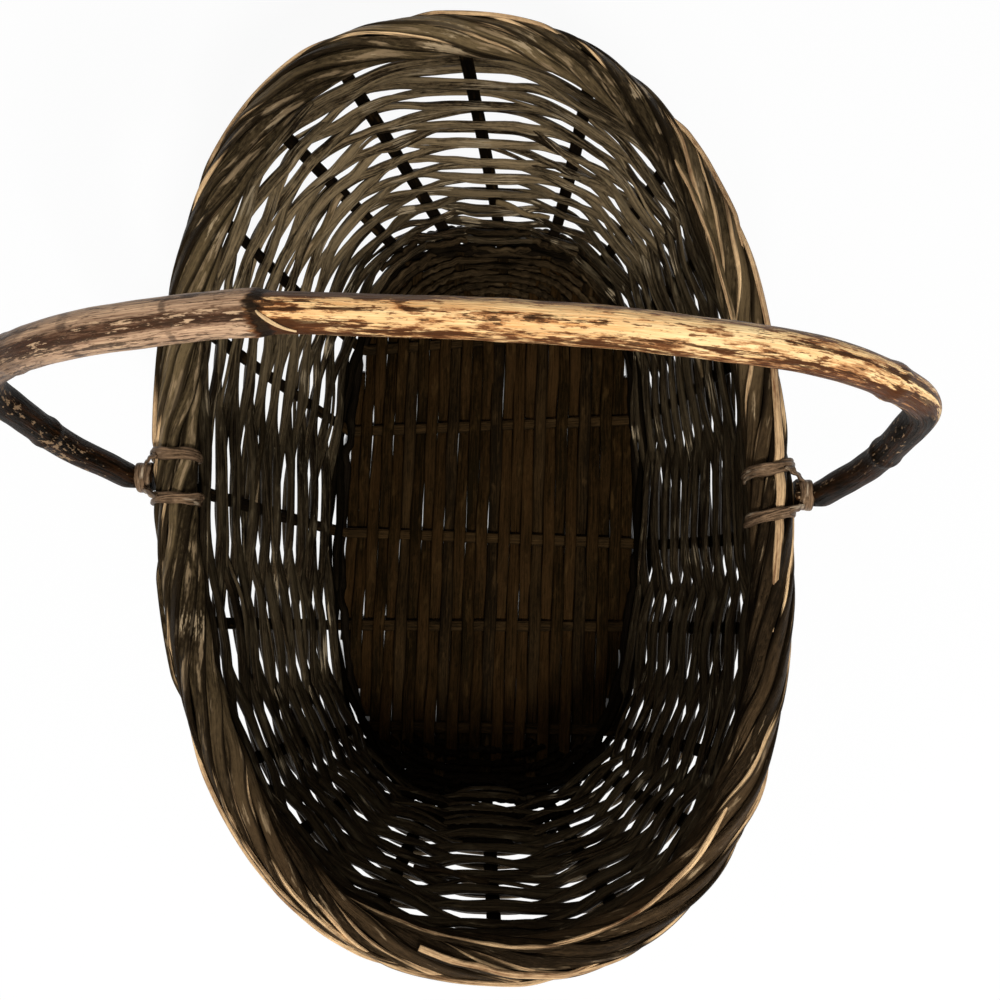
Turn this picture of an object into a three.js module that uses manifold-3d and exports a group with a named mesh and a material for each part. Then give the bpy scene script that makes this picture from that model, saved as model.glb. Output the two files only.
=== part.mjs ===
// Oval foraging basket woven from split cane, with a bow handle that swings in two lashed eyes.
// Millimetres. +Z is up, +Y runs to the basket's far end, +X to its right. The origin lies in the
// plane that the basket stands on, under the middle of the rim's oval.
import * as THREE from "three";
import { mergeVertices } from "three/addons/utils/BufferGeometryUtils.js";
import Module from "manifold-3d";

const wasm = await Module();
wasm.setup();

// Clearance between pieces that touch on the real basket
const clearance = 0.3;

// Floor: a long oval, woven of lengthwise slats over and under cross stakes
const floorHalfWidth = 68.5;
const floorHalfLength = 125;
const floorExponent = 3;
const slatCount = 26;
const slatPitch = 5.2;
const slatWidth = 4.8;
const slatThickness = 1.4;
const slatOverhang = 2.5;

// Stakes: flat strips that cross or run along the floor and turn up to the rim
const stakeWidth = 4.8;
const stakeThickness = 1.6;
const crossLeftFloorShares = [0.6, 0.28, -0.11, -0.46, -0.83];
const crossRightFloorShares = [0.7, 0.35, -0.12, -0.43, -0.81];
const crossLeftRimShares = [0.58, 0.33, -0.05, -0.35, -0.65];
const crossRightRimShares = [0.54, 0.28, -0.12, -0.32, -0.6];
const outerSlatCount = 5;
const slatsPerLongStakeCount = 4;
const longFarRimShares = [-0.67, -0.41, 0.04, 0.49, 0.76];
const longNearRimShares = [-0.67, -0.37, 0.03, 0.45, 0.74];
const stakeLevelShares = [0, 0.015, 0.05, 0.12, 0.24, 0.42, 0.68, 1];

// Rim: a hoop with a layer of canes laid round it in a long twist. Its oval has gone askew: the
// far end stands to the left of the floor's and the near end to the right, by a share of the
// distance from the middle.
const rimHalfWidth = 110;
const rimHalfLength = 172;
const rimSkewShare = 0.0735;
const rimExponent = 2.35;
const rimHeight = 115;
const rimCoreRadius = 4.3;
const rimCoreSides = 6;
const rimCaneCount = 8;
const rimCaneThickness = 2.7;
const rimCaneInnerWidth = 3.5;
const rimCaneOuterWidth = 4.8;
const rimCaneBedding = 0.6;
const rimTwistTurns = 5;
const rimSteps = 50;

// Wall: leans out from the floor's edge to the underside of the rim
const wallRimInset = 3;
const wallFlare = 0.68;
const stakeHeadroom = 0.8;

// Weavers: thin canes wound round the stakes in pairs, in front of one stake and behind the next
const weaverLowWidth = 3.6;
const weaverHighWidth = 5.2;
const weaverThickness = 2.8;
const weaverPassMargin = 1.1;
const weaverPassSpread = 2;
const courseCount = 6;
const stepsPerWeaver = 32;
const firstRowRise = 2.6;
const topRowDrop = 4.8;
const rowPitchRatio = 1.45;
const weaverEndGap = 0.5;
const weaverChordSlack = 2.2;

// Handle: one round cane, bent to a bow and shaved to a neck at each end. Its girth shares are
// spread evenly along it from the right neck to the left one.
const handleRadius = 6.2;
const handleGirthShares = [0.78, 0.77, 0.81, 0.84, 0.9, 0.96, 1, 0.89, 0.8, 0.76];
const handleNeckRadius = 4;
const handleHeadRadius = 5;
const handleHeadLength = 1.6;
const handleNeckLength = 5;
const handleTaperLength = 5;
const handleSides = 10;
const handleSteps = 26;
const handleOutreach = 27;
const handleRise = 140;
const handleY = -5.5;
const handleLeanDegrees = 8.5;
const handleNeckReach = 6.6;
const knotSwell = 0.45;
const knotLength = 5;
const knotPlaceShares = [0.12, 0.25, 0.59, 0.735, 0.88];
const bowWidthShares = [0.957, 0.99, 1, 0.98, 0.855, 0.634, 0.331];
const bowRiseShares = [0.116, 0.266, 0.486, 0.679, 0.824, 0.94, 0.994];

// Lashings: two bands round the rim on each side, joined to an eye round the handle's neck
const bandSpacing = 16.4;
const bandWidth = 3.8;
const bandThickness = 1.2;
const bandSides = 12;
const eyeWall = 2;
const eyeLength = 3;
const eyeSides = 12;
const linkHeight = 3;
const linkThickness = 1.5;

// Derived places
const rimCaneInner = rimCoreRadius + rimCaneBedding;
const rimCaneOuter = rimCaneInner + rimCaneThickness;
const rimRadius = Math.hypot(rimCaneOuter, rimCaneOuterWidth / 2);
const stakeSeat = rimRadius + stakeHeadroom;
const wallTopHeight = rimHeight - Math.sqrt(stakeSeat ** 2 - wallRimInset ** 2);
const wallTopHalfWidth = rimHalfWidth - wallRimInset;
const wallTopHalfLength = rimHalfLength - wallRimInset;
const crossStakeHeight = slatThickness + clearance + stakeThickness / 2;
const slatSwing = (stakeThickness + slatThickness) / 2 + clearance;
const weaverSwing = (stakeThickness + weaverThickness) / 2 + clearance;
const wallHeight = wallTopHeight - crossStakeHeight;
const bandInner = (rimRadius + clearance) / Math.cos(Math.PI / bandSides);
const bandOuter = bandInner + bandThickness;
const handleHalfWidth = rimHalfWidth + handleOutreach;
const handleX = -rimSkewShare * handleY;
const handleEndX = rimHalfWidth + rimRadius + rimSkewShare * handleHeadRadius + clearance;
const eyeStartX = handleEndX + handleHeadLength + clearance;
const eyeInner = (handleNeckRadius + clearance) / Math.cos(Math.PI / eyeSides);
const eyeOuter = eyeInner + eyeWall;

const lerp = THREE.MathUtils.lerp;
const across = new THREE.Vector3(1, 0, 0);
const up = new THREE.Vector3(0, 0, 1);

// Colours, roughness
const finishes = {
  slat: [0x3a2c1e, 0.75],
  stake: [0x1c1712, 0.7],
  weaver: [0x2b251c, 0.7],
  rimCore: [0x2a231a, 0.8],
  rimCane: [0x51463a, 0.6],
  lashing: [0x776a58, 0.6],
  handle: [0xa07a4c, 0.45],
};

const basket = new THREE.Group();

function addPiece(name, geometry, finish) {
  const [color, roughness] = finishes[finish];
  const material = new THREE.MeshStandardMaterial({ color, roughness, metalness: 0 });
  const mesh = new THREE.Mesh(geometry, material);
  mesh.name = name;
  basket.add(mesh);
}

// A solid through a row of rings with equally many corners: open rows get flat ends
function loft(rings, closed = false) {
  const corners = rings[0].length;
  const positions = rings.flat().flatMap((corner) => corner.toArray());
  const index = [];
  const spans = closed ? rings.length : rings.length - 1;
  for (let span = 0; span < spans; span++) {
    const here = span * corners;
    const next = ((span + 1) % rings.length) * corners;
    for (let corner = 0; corner < corners; corner++) {
      const beside = (corner + 1) % corners;
      index.push(here + corner, here + beside, next + beside);
      index.push(here + corner, next + beside, next + corner);
    }
  }
  if (!closed) {
    const last = (rings.length - 1) * corners;
    for (let corner = 1; corner < corners - 1; corner++) {
      index.push(0, corner + 1, corner);
      index.push(last, last + corner, last + corner + 1);
    }
  }
  const geometry = new THREE.BufferGeometry();
  geometry.setAttribute("position", new THREE.Float32BufferAttribute(positions, 3));
  geometry.setIndex(signedVolume(positions, index) < 0 ? index.reverse() : index);
  geometry.computeVertexNormals();
  return geometry;
}

function signedVolume(positions, index) {
  const corner = (i) => new THREE.Vector3().fromArray(positions, index[i] * 3);
  let volume = 0;
  for (let i = 0; i < index.length; i += 3) {
    volume += corner(i).dot(corner(i + 1).cross(corner(i + 2))) / 6;
  }
  return volume;
}

// The four corners of a flat strip's section
function stripRing({ place, side, face }, width, thickness) {
  const corner = (a, b) =>
    place.clone().addScaledVector(side, (a * width) / 2).addScaledVector(face, (b * thickness) / 2);
  return [corner(-1, -1), corner(1, -1), corner(1, 1), corner(-1, 1)];
}

// Half width of an oval |x/a|^n + |y/b|^n = 1 at a distance along its other axis
function ovalReach(halfAlong, halfReach, exponent, along) {
  const share = Math.min(Math.abs(along) / halfAlong, 1);
  return halfReach * (1 - share ** exponent) ** (1 / exponent);
}

// Wall oval at a level: 0 at the floor's edge, 1 at the rim
function wallOval(level) {
  const spread = level ** wallFlare;
  return {
    spread,
    halfWidth: lerp(floorHalfWidth, wallTopHalfWidth, spread),
    halfLength: lerp(floorHalfLength, wallTopHalfLength, spread),
    exponent: lerp(floorExponent, rimExponent, spread),
    height: lerp(crossStakeHeight, wallTopHeight, level),
    skew: rimSkewShare * spread,
  };
}

// Every upright, in order round the oval from the right side's near corner
const crossStakes = crossLeftFloorShares.map((share, i) => ({
  left: sideUpright(share, crossLeftRimShares[i], -1),
  right: sideUpright(crossRightFloorShares[i], crossRightRimShares[i], 1),
}));
const longStakes = longFarRimShares.map((share, i) => {
  const slat = outerSlatCount + i * slatsPerLongStakeCount;
  return {
    slat,
    floorPlace: slatX(slat),
    farRimPlace: share * wallTopHalfWidth,
    nearRimPlace: longNearRimShares[i] * wallTopHalfWidth,
  };
});
function sideUpright(floorShare, rimShare, sign) {
  return (level) => {
    const oval = wallOval(level);
    const y = lerp(floorShare * floorHalfLength, rimShare * wallTopHalfLength, oval.spread);
    const x = sign * ovalReach(oval.halfLength, oval.halfWidth, oval.exponent, y);
    return new THREE.Vector3(x - oval.skew * y, y, oval.height);
  };
}
function endUpright(stake, rimPlace, sign) {
  return (level) => {
    const oval = wallOval(level);
    const x = lerp(stake.floorPlace, rimPlace, oval.spread);
    const y = sign * ovalReach(oval.halfWidth, oval.halfLength, oval.exponent, x);
    return new THREE.Vector3(x - oval.skew * y, y, oval.height);
  };
}
const rightUprights = crossStakes.map((stake) => stake.right).reverse();
const leftUprights = crossStakes.map((stake) => stake.left);
const farUprights = longStakes.map((stake) => endUpright(stake, stake.farRimPlace, 1)).reverse();
const nearUprights = longStakes.map((stake) => endUpright(stake, stake.nearRimPlace, -1));
const uprights = [...rightUprights, ...farUprights, ...leftUprights, ...nearUprights];

function slatX(slat) {
  return (slat - (slatCount - 1) / 2) * slatPitch;
}

// Place on an upright at a level, on the straight runs between the levels where it bends,
// with the row's direction, the wall's outward face and the direction across the row
function uprightFrame(upright, level) {
  let run = 1;
  while (run < stakeLevelShares.length - 1 && stakeLevelShares[run] < level) run++;
  const [low, high] = [stakeLevelShares[run - 1], stakeLevelShares[run]];
  const [foot, head] = [upright(low), upright(high)];
  const place = foot.clone().lerp(head, (level - low) / (high - low));
  const climb = head.sub(foot).normalize();
  const oval = wallOval(level);
  const gradient = (value, half) =>
    (Math.sign(value) * Math.abs(value / half) ** (oval.exponent - 1)) / half;
  const outX = gradient(place.x + oval.skew * place.y, oval.halfWidth);
  const outY = gradient(place.y, oval.halfLength) + oval.skew * outX;
  const outward = new THREE.Vector3(outX, outY, 0).normalize();
  const along = up.clone().cross(outward).normalize();
  const face = along.clone().cross(climb).normalize();
  return { place, along, climb, face, side: face.clone().cross(along) };
}

// Strip rings up one upright, from the floor's edge to the rim. At a bend the face lies halfway
// between the two straight runs.
function uprightRings(upright, width, thickness) {
  return stakeLevelShares.map((level, i) => {
    const below = uprightFrame(upright, Math.max(level, stakeLevelShares[1] / 2));
    const above = uprightFrame(upright, Math.min(level + stakeLevelShares[1] / 2, 1));
    const face = i === 0 ? up.clone().negate() : below.face.clone().add(above.face).normalize();
    const climb = below.climb.clone().add(above.climb);
    const side = climb.cross(face).normalize();
    return stripRing({ place: upright(level), side, face }, width, thickness);
  });
}

// Cross stakes: up the left side, across the floor and up the right side
crossStakes.forEach((stake, i) => {
  const left = uprightRings(stake.left, stakeWidth, stakeThickness);
  const right = uprightRings(stake.right, stakeWidth, stakeThickness);
  addPiece("cross_stake_" + (i + 1), loft([...left.reverse(), ...mirrorRings(right)]), "stake");
});

// The second half of a strip that turned up at both ends is drawn from its foot, so its
// corners change sides
function mirrorRings(rings) {
  return rings.map(([a, b, c, d]) => [b, a, d, c]);
}

// Floor slats: over one cross stake and under the next, and always under one that they end at
// or whose foot they run up against
function slatRings(slat, nearEnd, farEnd, endSwing) {
  const x = slatX(slat);
  const footRoom = Math.abs(x) + slatWidth / 2 + stakeThickness / 2 + clearance;
  const pass = (stakeWidth + stakeThickness) / 2;
  const stations = [[nearEnd, endSwing]];
  for (let i = crossStakes.length - 1; i >= 0; i--) {
    const [left, right] = [crossStakes[i].left(0), crossStakes[i].right(0)];
    const y = lerp(left.y, right.y, (x - left.x) / (right.x - left.x));
    const foot = x < 0 ? -left.x : right.x;
    const crosses = y - pass > nearEnd && y + pass < farEnd && foot > footRoom;
    const swing = crosses && (slat + i) % 2 === 0 ? slatSwing : -slatSwing;
    for (const edge of [y - pass, y + pass]) {
      if (edge > nearEnd + clearance && edge < farEnd - clearance) stations.push([edge, swing]);
    }
  }
  stations.push([farEnd, endSwing]);
  return stations.map(([y, swing]) => {
    const place = new THREE.Vector3(x, y, crossStakeHeight + swing);
    return stripRing({ place, side: across, face: up.clone().negate() }, slatWidth, slatThickness);
  });
}

// A slat stops just past the floor's edge, below the first row of weavers
function slatReach(slat) {
  const outerEdge = Math.abs(slatX(slat)) + slatWidth / 2;
  return ovalReach(
    floorHalfWidth + slatOverhang, floorHalfLength + slatOverhang, floorExponent, outerEdge);
}

for (let slat = 0; slat < slatCount; slat++) {
  const long = longStakes.find((stake) => stake.slat === slat);
  if (long) {
    const far = uprightRings(endUpright(long, long.farRimPlace, 1), slatWidth, slatThickness);
    const near = uprightRings(endUpright(long, long.nearRimPlace, -1), slatWidth, slatThickness);
    const foot = ovalReach(floorHalfWidth, floorHalfLength, floorExponent, slatX(slat)) - slatPitch;
    const floor = slatRings(slat, -foot, foot, 0);
    const rings = [...mirrorRings([...near.reverse(), ...floor]), ...far];
    addPiece("long_stake_" + (longStakes.indexOf(long) + 1), loft(rings), "stake");
  } else {
    const name = "floor_slat_" + String(slat + 1).padStart(2, "0");
    const rings = slatRings(slat, -slatReach(slat), slatReach(slat), -slatSwing);
    addPiece(name, loft(rings), "slat");
  }
}

// Level of a weaver's row, with the rows set closer near the floor
const rowCount = 2 * (courseCount * stepsPerWeaver + 1) / uprights.length + 1;
function rowLevel(row) {
  const meanPitch = (wallHeight - firstRowRise - topRowDrop) / rowCount;
  const lowPitch = (2 * meanPitch) / (1 + rowPitchRatio);
  const growth = (lowPitch * (rowPitchRatio - 1)) / rowCount;
  return (firstRowRise + lowPitch * row + (growth * row ** 2) / 2) / wallHeight;
}

// The weavers are broader where their rows lie further apart
function weaverWidth(level) {
  return lerp(weaverLowWidth, weaverHighWidth, level);
}

// One weaver: from behind one upright, round the wall, to behind another. The two of a course
// run a row apart and pass each upright on opposite sides.
function weaverRings(firstStep, rowOffset) {
  const rings = [];
  for (let step = firstStep; step <= firstStep + stepsPerWeaver; step++) {
    const level = rowLevel((2 * step) / uprights.length + rowOffset);
    const frame = uprightFrame(uprights[step % uprights.length], level);
    const swing = (step - firstStep) % 2 === 0 ? weaverSwing : -weaverSwing;
    const reach = stakeWidth / 2 + weaverPassMargin + weaverPassSpread * level;
    const place = frame.place.clone().addScaledVector(frame.face, swing);
    const ringAt = (offset) => {
      const ringPlace = place.clone().addScaledVector(frame.along, offset);
      return stripRing({ ...frame, place: ringPlace }, weaverWidth(level), weaverThickness);
    };
    const isFirst = step === firstStep;
    const isLast = step === firstStep + stepsPerWeaver;
    if (!isFirst) rings.push(...bulgeRings(step, rowOffset, weaverWidth(level)));
    rings.push(ringAt(isFirst ? weaverEndGap / 2 : -reach));
    rings.push(ringAt(isLast ? -weaverEndGap / 2 : reach));
  }
  return rings;
}

// Where the oval turns sharply between two uprights, a weaver gets one more ring halfway, out
// on the arc through both: it stands off the chord by half the chord times tan(turn / 4)
function bulgeRings(step, rowOffset, width) {
  const [from, to] = [step - 1, step].map((at) =>
    uprightFrame(uprights[at % uprights.length], rowLevel((2 * at) / uprights.length + rowOffset)));
  const bulge = (from.place.distanceTo(to.place) / 2) * Math.tan(from.along.angleTo(to.along) / 4);
  if (bulge < weaverChordSlack) return [];
  const face = from.face.clone().add(to.face).normalize();
  const along = to.place.clone().sub(from.place).normalize();
  const place = from.place.clone().lerp(to.place, 1 / 2).addScaledVector(face, bulge);
  const side = face.clone().cross(along).normalize();
  return [stripRing({ place, side, face }, width, weaverThickness)];
}

for (let course = 0; course < courseCount; course++) {
  const firstStep = course * stepsPerWeaver;
  addPiece("weaver_" + (course + 1) + "a", loft(weaverRings(firstStep, 0)), "weaver");
  addPiece("weaver_" + (course + 1) + "b", loft(weaverRings(firstStep + 1, 1)), "weaver");
}

// Centreline of the rim
class RimOval extends THREE.Curve {
  getPoint(share) {
    const angle = 2 * Math.PI * share;
    const power = (value) => Math.sign(value) * Math.abs(value) ** (2 / rimExponent);
    const x = rimHalfWidth * power(Math.cos(angle));
    const y = rimHalfLength * power(Math.sin(angle));
    return new THREE.Vector3(x - rimSkewShare * y, y, rimHeight);
  }
}

// Rings of a section carried round the rim: each corner is a distance from the centreline and
// an offset across that direction, turned by an angle that may grow along the rim
function rimRings(corners, startAngle, turns) {
  const oval = new RimOval();
  const rings = [];
  for (let step = 0; step < rimSteps; step++) {
    const share = step / rimSteps;
    const place = oval.getPointAt(share);
    const outward = oval.getTangentAt(share).cross(up).normalize();
    const angle = startAngle - 2 * Math.PI * turns * share;
    const [sine, cosine] = [Math.sin(angle), Math.cos(angle)];
    const radial = outward.clone().multiplyScalar(cosine).addScaledVector(up, sine);
    const sideways = outward.clone().multiplyScalar(-sine).addScaledVector(up, cosine);
    rings.push(corners.map(([distance, offset]) =>
      place.clone().addScaledVector(radial, distance).addScaledVector(sideways, offset)));
  }
  return rings;
}

function rimCore() {
  const corners = [];
  for (let side = 0; side < rimCoreSides; side++) {
    const angle = (2 * Math.PI * side) / rimCoreSides;
    corners.push([rimCoreRadius * Math.cos(angle), rimCoreRadius * Math.sin(angle)]);
  }
  return loft(rimRings(corners, 0, 0), true);
}

function rimCane(cane) {
  const corners = [
    [rimCaneInner, rimCaneInnerWidth / 2],
    [rimCaneOuter, rimCaneOuterWidth / 2],
    [rimCaneOuter, -rimCaneOuterWidth / 2],
    [rimCaneInner, -rimCaneInnerWidth / 2],
  ];
  return loft(rimRings(corners, (2 * Math.PI * cane) / rimCaneCount, rimTwistTurns), true);
}

addPiece("rim_core", rimCore(), "rimCore");
for (let cane = 0; cane < rimCaneCount; cane++) {
  addPiece("rim_cane_" + (cane + 1), rimCane(cane), "rimCane");
}

// Radius of the handle's body at a share of its length
function handleGirth(share) {
  const place = share * (handleGirthShares.length - 1);
  const low = Math.min(Math.floor(place), handleGirthShares.length - 2);
  return handleRadius * lerp(handleGirthShares[low], handleGirthShares[low + 1], place - low);
}

// Handle: rings square to the bow, built upright in the plane of its two necks and then leant
function handleGeometry() {
  const neckOutX = handleEndX + handleHeadLength + handleNeckReach;
  const half = [handleEndX, (handleEndX + neckOutX) / 2, neckOutX].map((x) => new THREE.Vector3(x, 0, 0));
  bowWidthShares.forEach((share, i) => {
    half.push(new THREE.Vector3(share * handleHalfWidth, 0, bowRiseShares[i] * handleRise));
  });
  const otherHalf = half.map((point) => new THREE.Vector3(-point.x, 0, point.z)).reverse();
  const top = new THREE.Vector3(0, 0, handleRise);
  const bow = new THREE.CatmullRomCurve3([...half, top, ...otherHalf], false, "centripetal");
  const length = bow.getLength();
  const neckEnd = handleHeadLength + handleNeckLength;
  const bodyStart = neckEnd + handleTaperLength;
  const end = [
    [0, handleHeadRadius],
    [handleHeadLength, handleHeadRadius],
    [handleHeadLength, handleNeckRadius],
    [neckEnd, handleNeckRadius],
  ];
  const otherEnd = end.map(([along, radius]) => [length - along, radius]).reverse();
  const body = [];
  for (let step = 0; step <= handleSteps; step++) {
    const along = lerp(bodyStart, length - bodyStart, step / handleSteps);
    body.push([along, handleGirth(along / length)]);
  }
  for (const share of knotPlaceShares) {
    for (const [shift, swell] of [[-knotLength / 2, 0], [0, knotSwell], [knotLength / 2, 0]]) {
      const along = share * length + shift;
      body.push([along, handleGirth(along / length) + swell]);
    }
  }
  body.sort((a, b) => a[0] - b[0]);
  const rings = [...end, ...body, ...otherEnd].map(([along, radius]) => {
    const share = along / length;
    const place = bow.getPointAt(share);
    const tangent = bow.getTangentAt(share).setY(0).normalize();
    const inPlane = new THREE.Vector3(-tangent.z, 0, tangent.x);
    const ring = [];
    for (let side = 0; side < handleSides; side++) {
      const angle = (2 * Math.PI * side) / handleSides;
      const offset = inPlane.clone().multiplyScalar(radius * Math.cos(angle));
      ring.push(place.clone().add(offset).add(new THREE.Vector3(0, radius * Math.sin(angle), 0)));
    }
    return ring;
  });
  const lean = new THREE.Matrix4().makeRotationX(-THREE.MathUtils.degToRad(handleLeanDegrees));
  return loft(rings).applyMatrix4(lean).translate(handleX, handleY, rimHeight);
}

addPiece("handle", handleGeometry(), "handle");

// A rectangular section carried round a circle: the centre, two axes of its plane, and the
// direction of its width
function hoop(centre, first, second, inner, outer, width, sides) {
  const normal = first.clone().cross(second);
  const rings = [];
  for (let step = 0; step < sides; step++) {
    const angle = (2 * Math.PI * (step + 1 / 2)) / sides;
    const radial = first.clone().multiplyScalar(Math.cos(angle)).addScaledVector(second, Math.sin(angle));
    const place = centre.clone().addScaledVector(radial, (inner + outer) / 2);
    rings.push(stripRing({ place, side: normal, face: radial }, width, outer - inner));
  }
  return loft(rings, true);
}

function toManifold(geometry) {
  const bare = geometry.clone();
  bare.deleteAttribute("normal");
  const merged = mergeVertices(bare);
  return new wasm.Manifold(new wasm.Mesh({
    numProp: 3,
    vertProperties: new Float32Array(merged.attributes.position.array),
    triVerts: new Uint32Array(merged.index.array),
  }));
}

function toGeometry(solid) {
  const mesh = solid.getMesh();
  const geometry = new THREE.BufferGeometry();
  geometry.setAttribute("position", new THREE.Float32BufferAttribute(mesh.vertProperties, 3));
  geometry.setIndex([...mesh.triVerts]);
  geometry.computeVertexNormals();
  return geometry;
}

// One side's lashing. The bands and the eye are one cane, so they are joined to one solid.
function lashing(sign) {
  const forward = new THREE.Vector3(0, 1, 0);
  const eyeX = handleX + sign * (eyeStartX + eyeLength / 2);
  const pieces = [];
  for (const end of [-1, 1]) {
    const bandY = handleY + (end * bandSpacing) / 2;
    const centre = new THREE.Vector3(rimSideX(sign, bandY), bandY, rimHeight);
    pieces.push(hoop(centre, across, up, bandInner, bandOuter, bandWidth, bandSides));
    const bandEdge = new THREE.Vector3(
      centre.x + sign * ((bandInner + bandOuter) / 2), bandY - (end * bandWidth) / 4, rimHeight);
    const eyeEdge = new THREE.Vector3(
      eyeX, handleY + end * ((eyeInner + eyeOuter) / 2), rimHeight);
    const run = eyeEdge.clone().sub(bandEdge).normalize();
    const face = up.clone().cross(run);
    const ends = [bandEdge, eyeEdge].map((place) =>
      stripRing({ place, side: up, face }, linkHeight, linkThickness));
    pieces.push(loft(ends));
  }
  const eyeCentre = new THREE.Vector3(eyeX, handleY, rimHeight);
  pieces.push(hoop(eyeCentre, forward, up, eyeInner, eyeOuter, eyeLength, eyeSides));
  return toGeometry(pieces.map(toManifold).reduce((joined, piece) => joined.add(piece)));
}

function rimSideX(sign, y) {
  return sign * ovalReach(rimHalfLength, rimHalfWidth, rimExponent, y) - rimSkewShare * y;
}

addPiece("left_lashing", lashing(-1), "lashing");
addPiece("right_lashing", lashing(1), "lashing");

export default basket;
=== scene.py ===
"""Oval foraging basket of dark split cane with a bow handle, dressed over its CAD frame.

Sizes are in millimetres and follow the CAD model; meshes are put into the scene in metres.
Colours are display values from 0 to 255.
"""

import math

import bpy
import numpy as np
from mathutils import Matrix, Vector


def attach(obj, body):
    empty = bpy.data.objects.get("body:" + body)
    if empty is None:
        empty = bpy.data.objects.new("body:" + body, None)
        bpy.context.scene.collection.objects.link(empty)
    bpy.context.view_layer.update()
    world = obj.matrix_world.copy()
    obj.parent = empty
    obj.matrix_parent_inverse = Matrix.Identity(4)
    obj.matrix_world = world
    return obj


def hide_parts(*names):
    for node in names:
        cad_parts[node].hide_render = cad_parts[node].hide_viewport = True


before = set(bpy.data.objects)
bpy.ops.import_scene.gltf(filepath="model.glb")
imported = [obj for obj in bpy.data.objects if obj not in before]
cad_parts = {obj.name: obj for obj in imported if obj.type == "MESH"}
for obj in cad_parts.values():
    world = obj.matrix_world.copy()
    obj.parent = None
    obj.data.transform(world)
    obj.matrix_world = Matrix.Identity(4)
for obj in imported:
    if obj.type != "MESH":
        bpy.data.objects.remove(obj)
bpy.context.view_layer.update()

MM = 0.001
TURN = 2 * math.pi
UP = np.array([0.0, 0.0, 1.0])
CLEARANCE = 0.3

# Floor
FLOOR_HALF_WIDTH = 68.5
FLOOR_HALF_LENGTH = 125
FLOOR_EXPONENT = 3
SLAT_COUNT = 26
SLAT_PITCH = 5.2
SLAT_WIDTH = 5.55
SLAT_THICKNESS = 1.4
SLAT_OVERHANG = 2.5
SLAT_SAMPLE_LENGTH = 1.6
OUTER_SLAT_COUNT = 5
SLATS_PER_LONG_STAKE = 4

# Stakes: their places on the floor's edge and on the rim as shares of the half length or width
STAKE_WIDTH = 5
STAKE_THICKNESS = 1.6
CROSS_LEFT_FLOOR_SHARES = (0.6, 0.28, -0.11, -0.46, -0.83)
CROSS_RIGHT_FLOOR_SHARES = (0.7, 0.35, -0.12, -0.43, -0.81)
CROSS_LEFT_RIM_SHARES = (0.58, 0.33, -0.05, -0.35, -0.65)
CROSS_RIGHT_RIM_SHARES = (0.54, 0.28, -0.12, -0.32, -0.6)
LONG_FAR_RIM_SHARES = (-0.67, -0.41, 0.04, 0.49, 0.76)
LONG_NEAR_RIM_SHARES = (-0.67, -0.37, 0.03, 0.45, 0.74)
LONG_FOOT_INSET = 3
UPRIGHT_SAMPLES = 60
UPRIGHT_SAMPLE_EXPONENT = 1.6
CROSS_FLOOR_SAMPLES = 70
CROSS_COUNT = len(CROSS_LEFT_FLOOR_SHARES)
LONG_COUNT = len(LONG_FAR_RIM_SHARES)
LONG_SLATS = [OUTER_SLAT_COUNT + SLATS_PER_LONG_STAKE * i for i in range(LONG_COUNT)]
UPRIGHT_COUNT = 2 * (CROSS_COUNT + LONG_COUNT)

# Rim
RIM_HALF_WIDTH = 110
RIM_HALF_LENGTH = 172
RIM_SKEW_SHARE = 0.0735
RIM_EXPONENT = 2.35
RIM_HEIGHT = 115
RIM_CORE_RADIUS = 4.3
RIM_CANE_COUNT = 8
RIM_CANE_THICKNESS = 2.7
RIM_CANE_WIDTH = 4.8
RIM_CANE_BEDDING = 0.6
RIM_TWIST_TURNS = 5
RIM_SAMPLES = 760
RIM_RADIUS = math.hypot(RIM_CORE_RADIUS + RIM_CANE_BEDDING + RIM_CANE_THICKNESS, RIM_CANE_WIDTH / 2)
# The thin split beside each cane: its distance from the hoop, and how far wear lifts it
SPLIT_BEDDING = 1.5
SPLIT_LIFT = 1.6
SPLIT_WIDTH = 1.4
SPLIT_THICKNESS = 1.4
# Where the bark has split off the rim: place as a share of the way round from the right side,
# half length as a share, and how much wood shows
RIM_BARE_PLACES = ((0.995, 0.05, 1.0), (0.1, 0.045, 1.0), (0.18, 0.04, 0.45), (0.27, 0.03, 0.3),
                   (0.4, 0.03, 0.3), (0.5, 0.05, 0.25), (0.635, 0.045, 1.0), (0.72, 0.045, 0.8),
                   (0.79, 0.03, 0.6), (0.87, 0.04, 0.6))
# Where the top of the rim is scuffed: x and y, and how far the scuffing reaches
RIM_SCUFFS = ((-14, 168, 16), (16, 163, 13), (-77, 130, 15), (-99, 89, 14), (-96, -58, 15),
              (60, 145, 12))
# Bare strips along the rim: where they start and end as shares of the way round, their angles
# about the hoop there, their width, how bare they are, and 1 where the start is a cut end
RIM_STRIPS = ((0.588, 0.742, 30, 2, 2.8, 1.0, 0), (0.62, 0.7, 62, 34, 1.3, 0.6, 0),
              (0.655, 0.735, 84, 40, 1.2, 0.6, 0), (0.69, 0.8, 170, 112, 2.3, 0.75, 0),
              (0.73, 0.8, 106, 34, 2.9, 0.85, 1), (0.7, 0.79, 44, 20, 1.6, 0.65, 0),
              (0.765, 0.885, 134, 104, 1.9, 0.85, 0), (0.94, 1.13, 96, 16, 3.9, 1.0, 0),
              (1.05, 1.15, 142, 116, 2.3, 0.75, 0), (1.09, 1.16, 30, 48, 2.6, 0.95, 0),
              (0.29, 0.4, 26, 14, 1.3, 0.65, 0), (0.43, 0.52, 30, 16, 1.4, 0.6, 0),
              (0.53, 0.6, 22, 20, 1.2, 0.6, 0), (0.2, 0.28, 52, 30, 1.3, 0.65, 0))
STRIP_THICKNESS = 1.7
STRIP_DIVE = 2.6
STRIP_DIVE_SHARE = 0.25
STRIP_PRESS = 1.3
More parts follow.
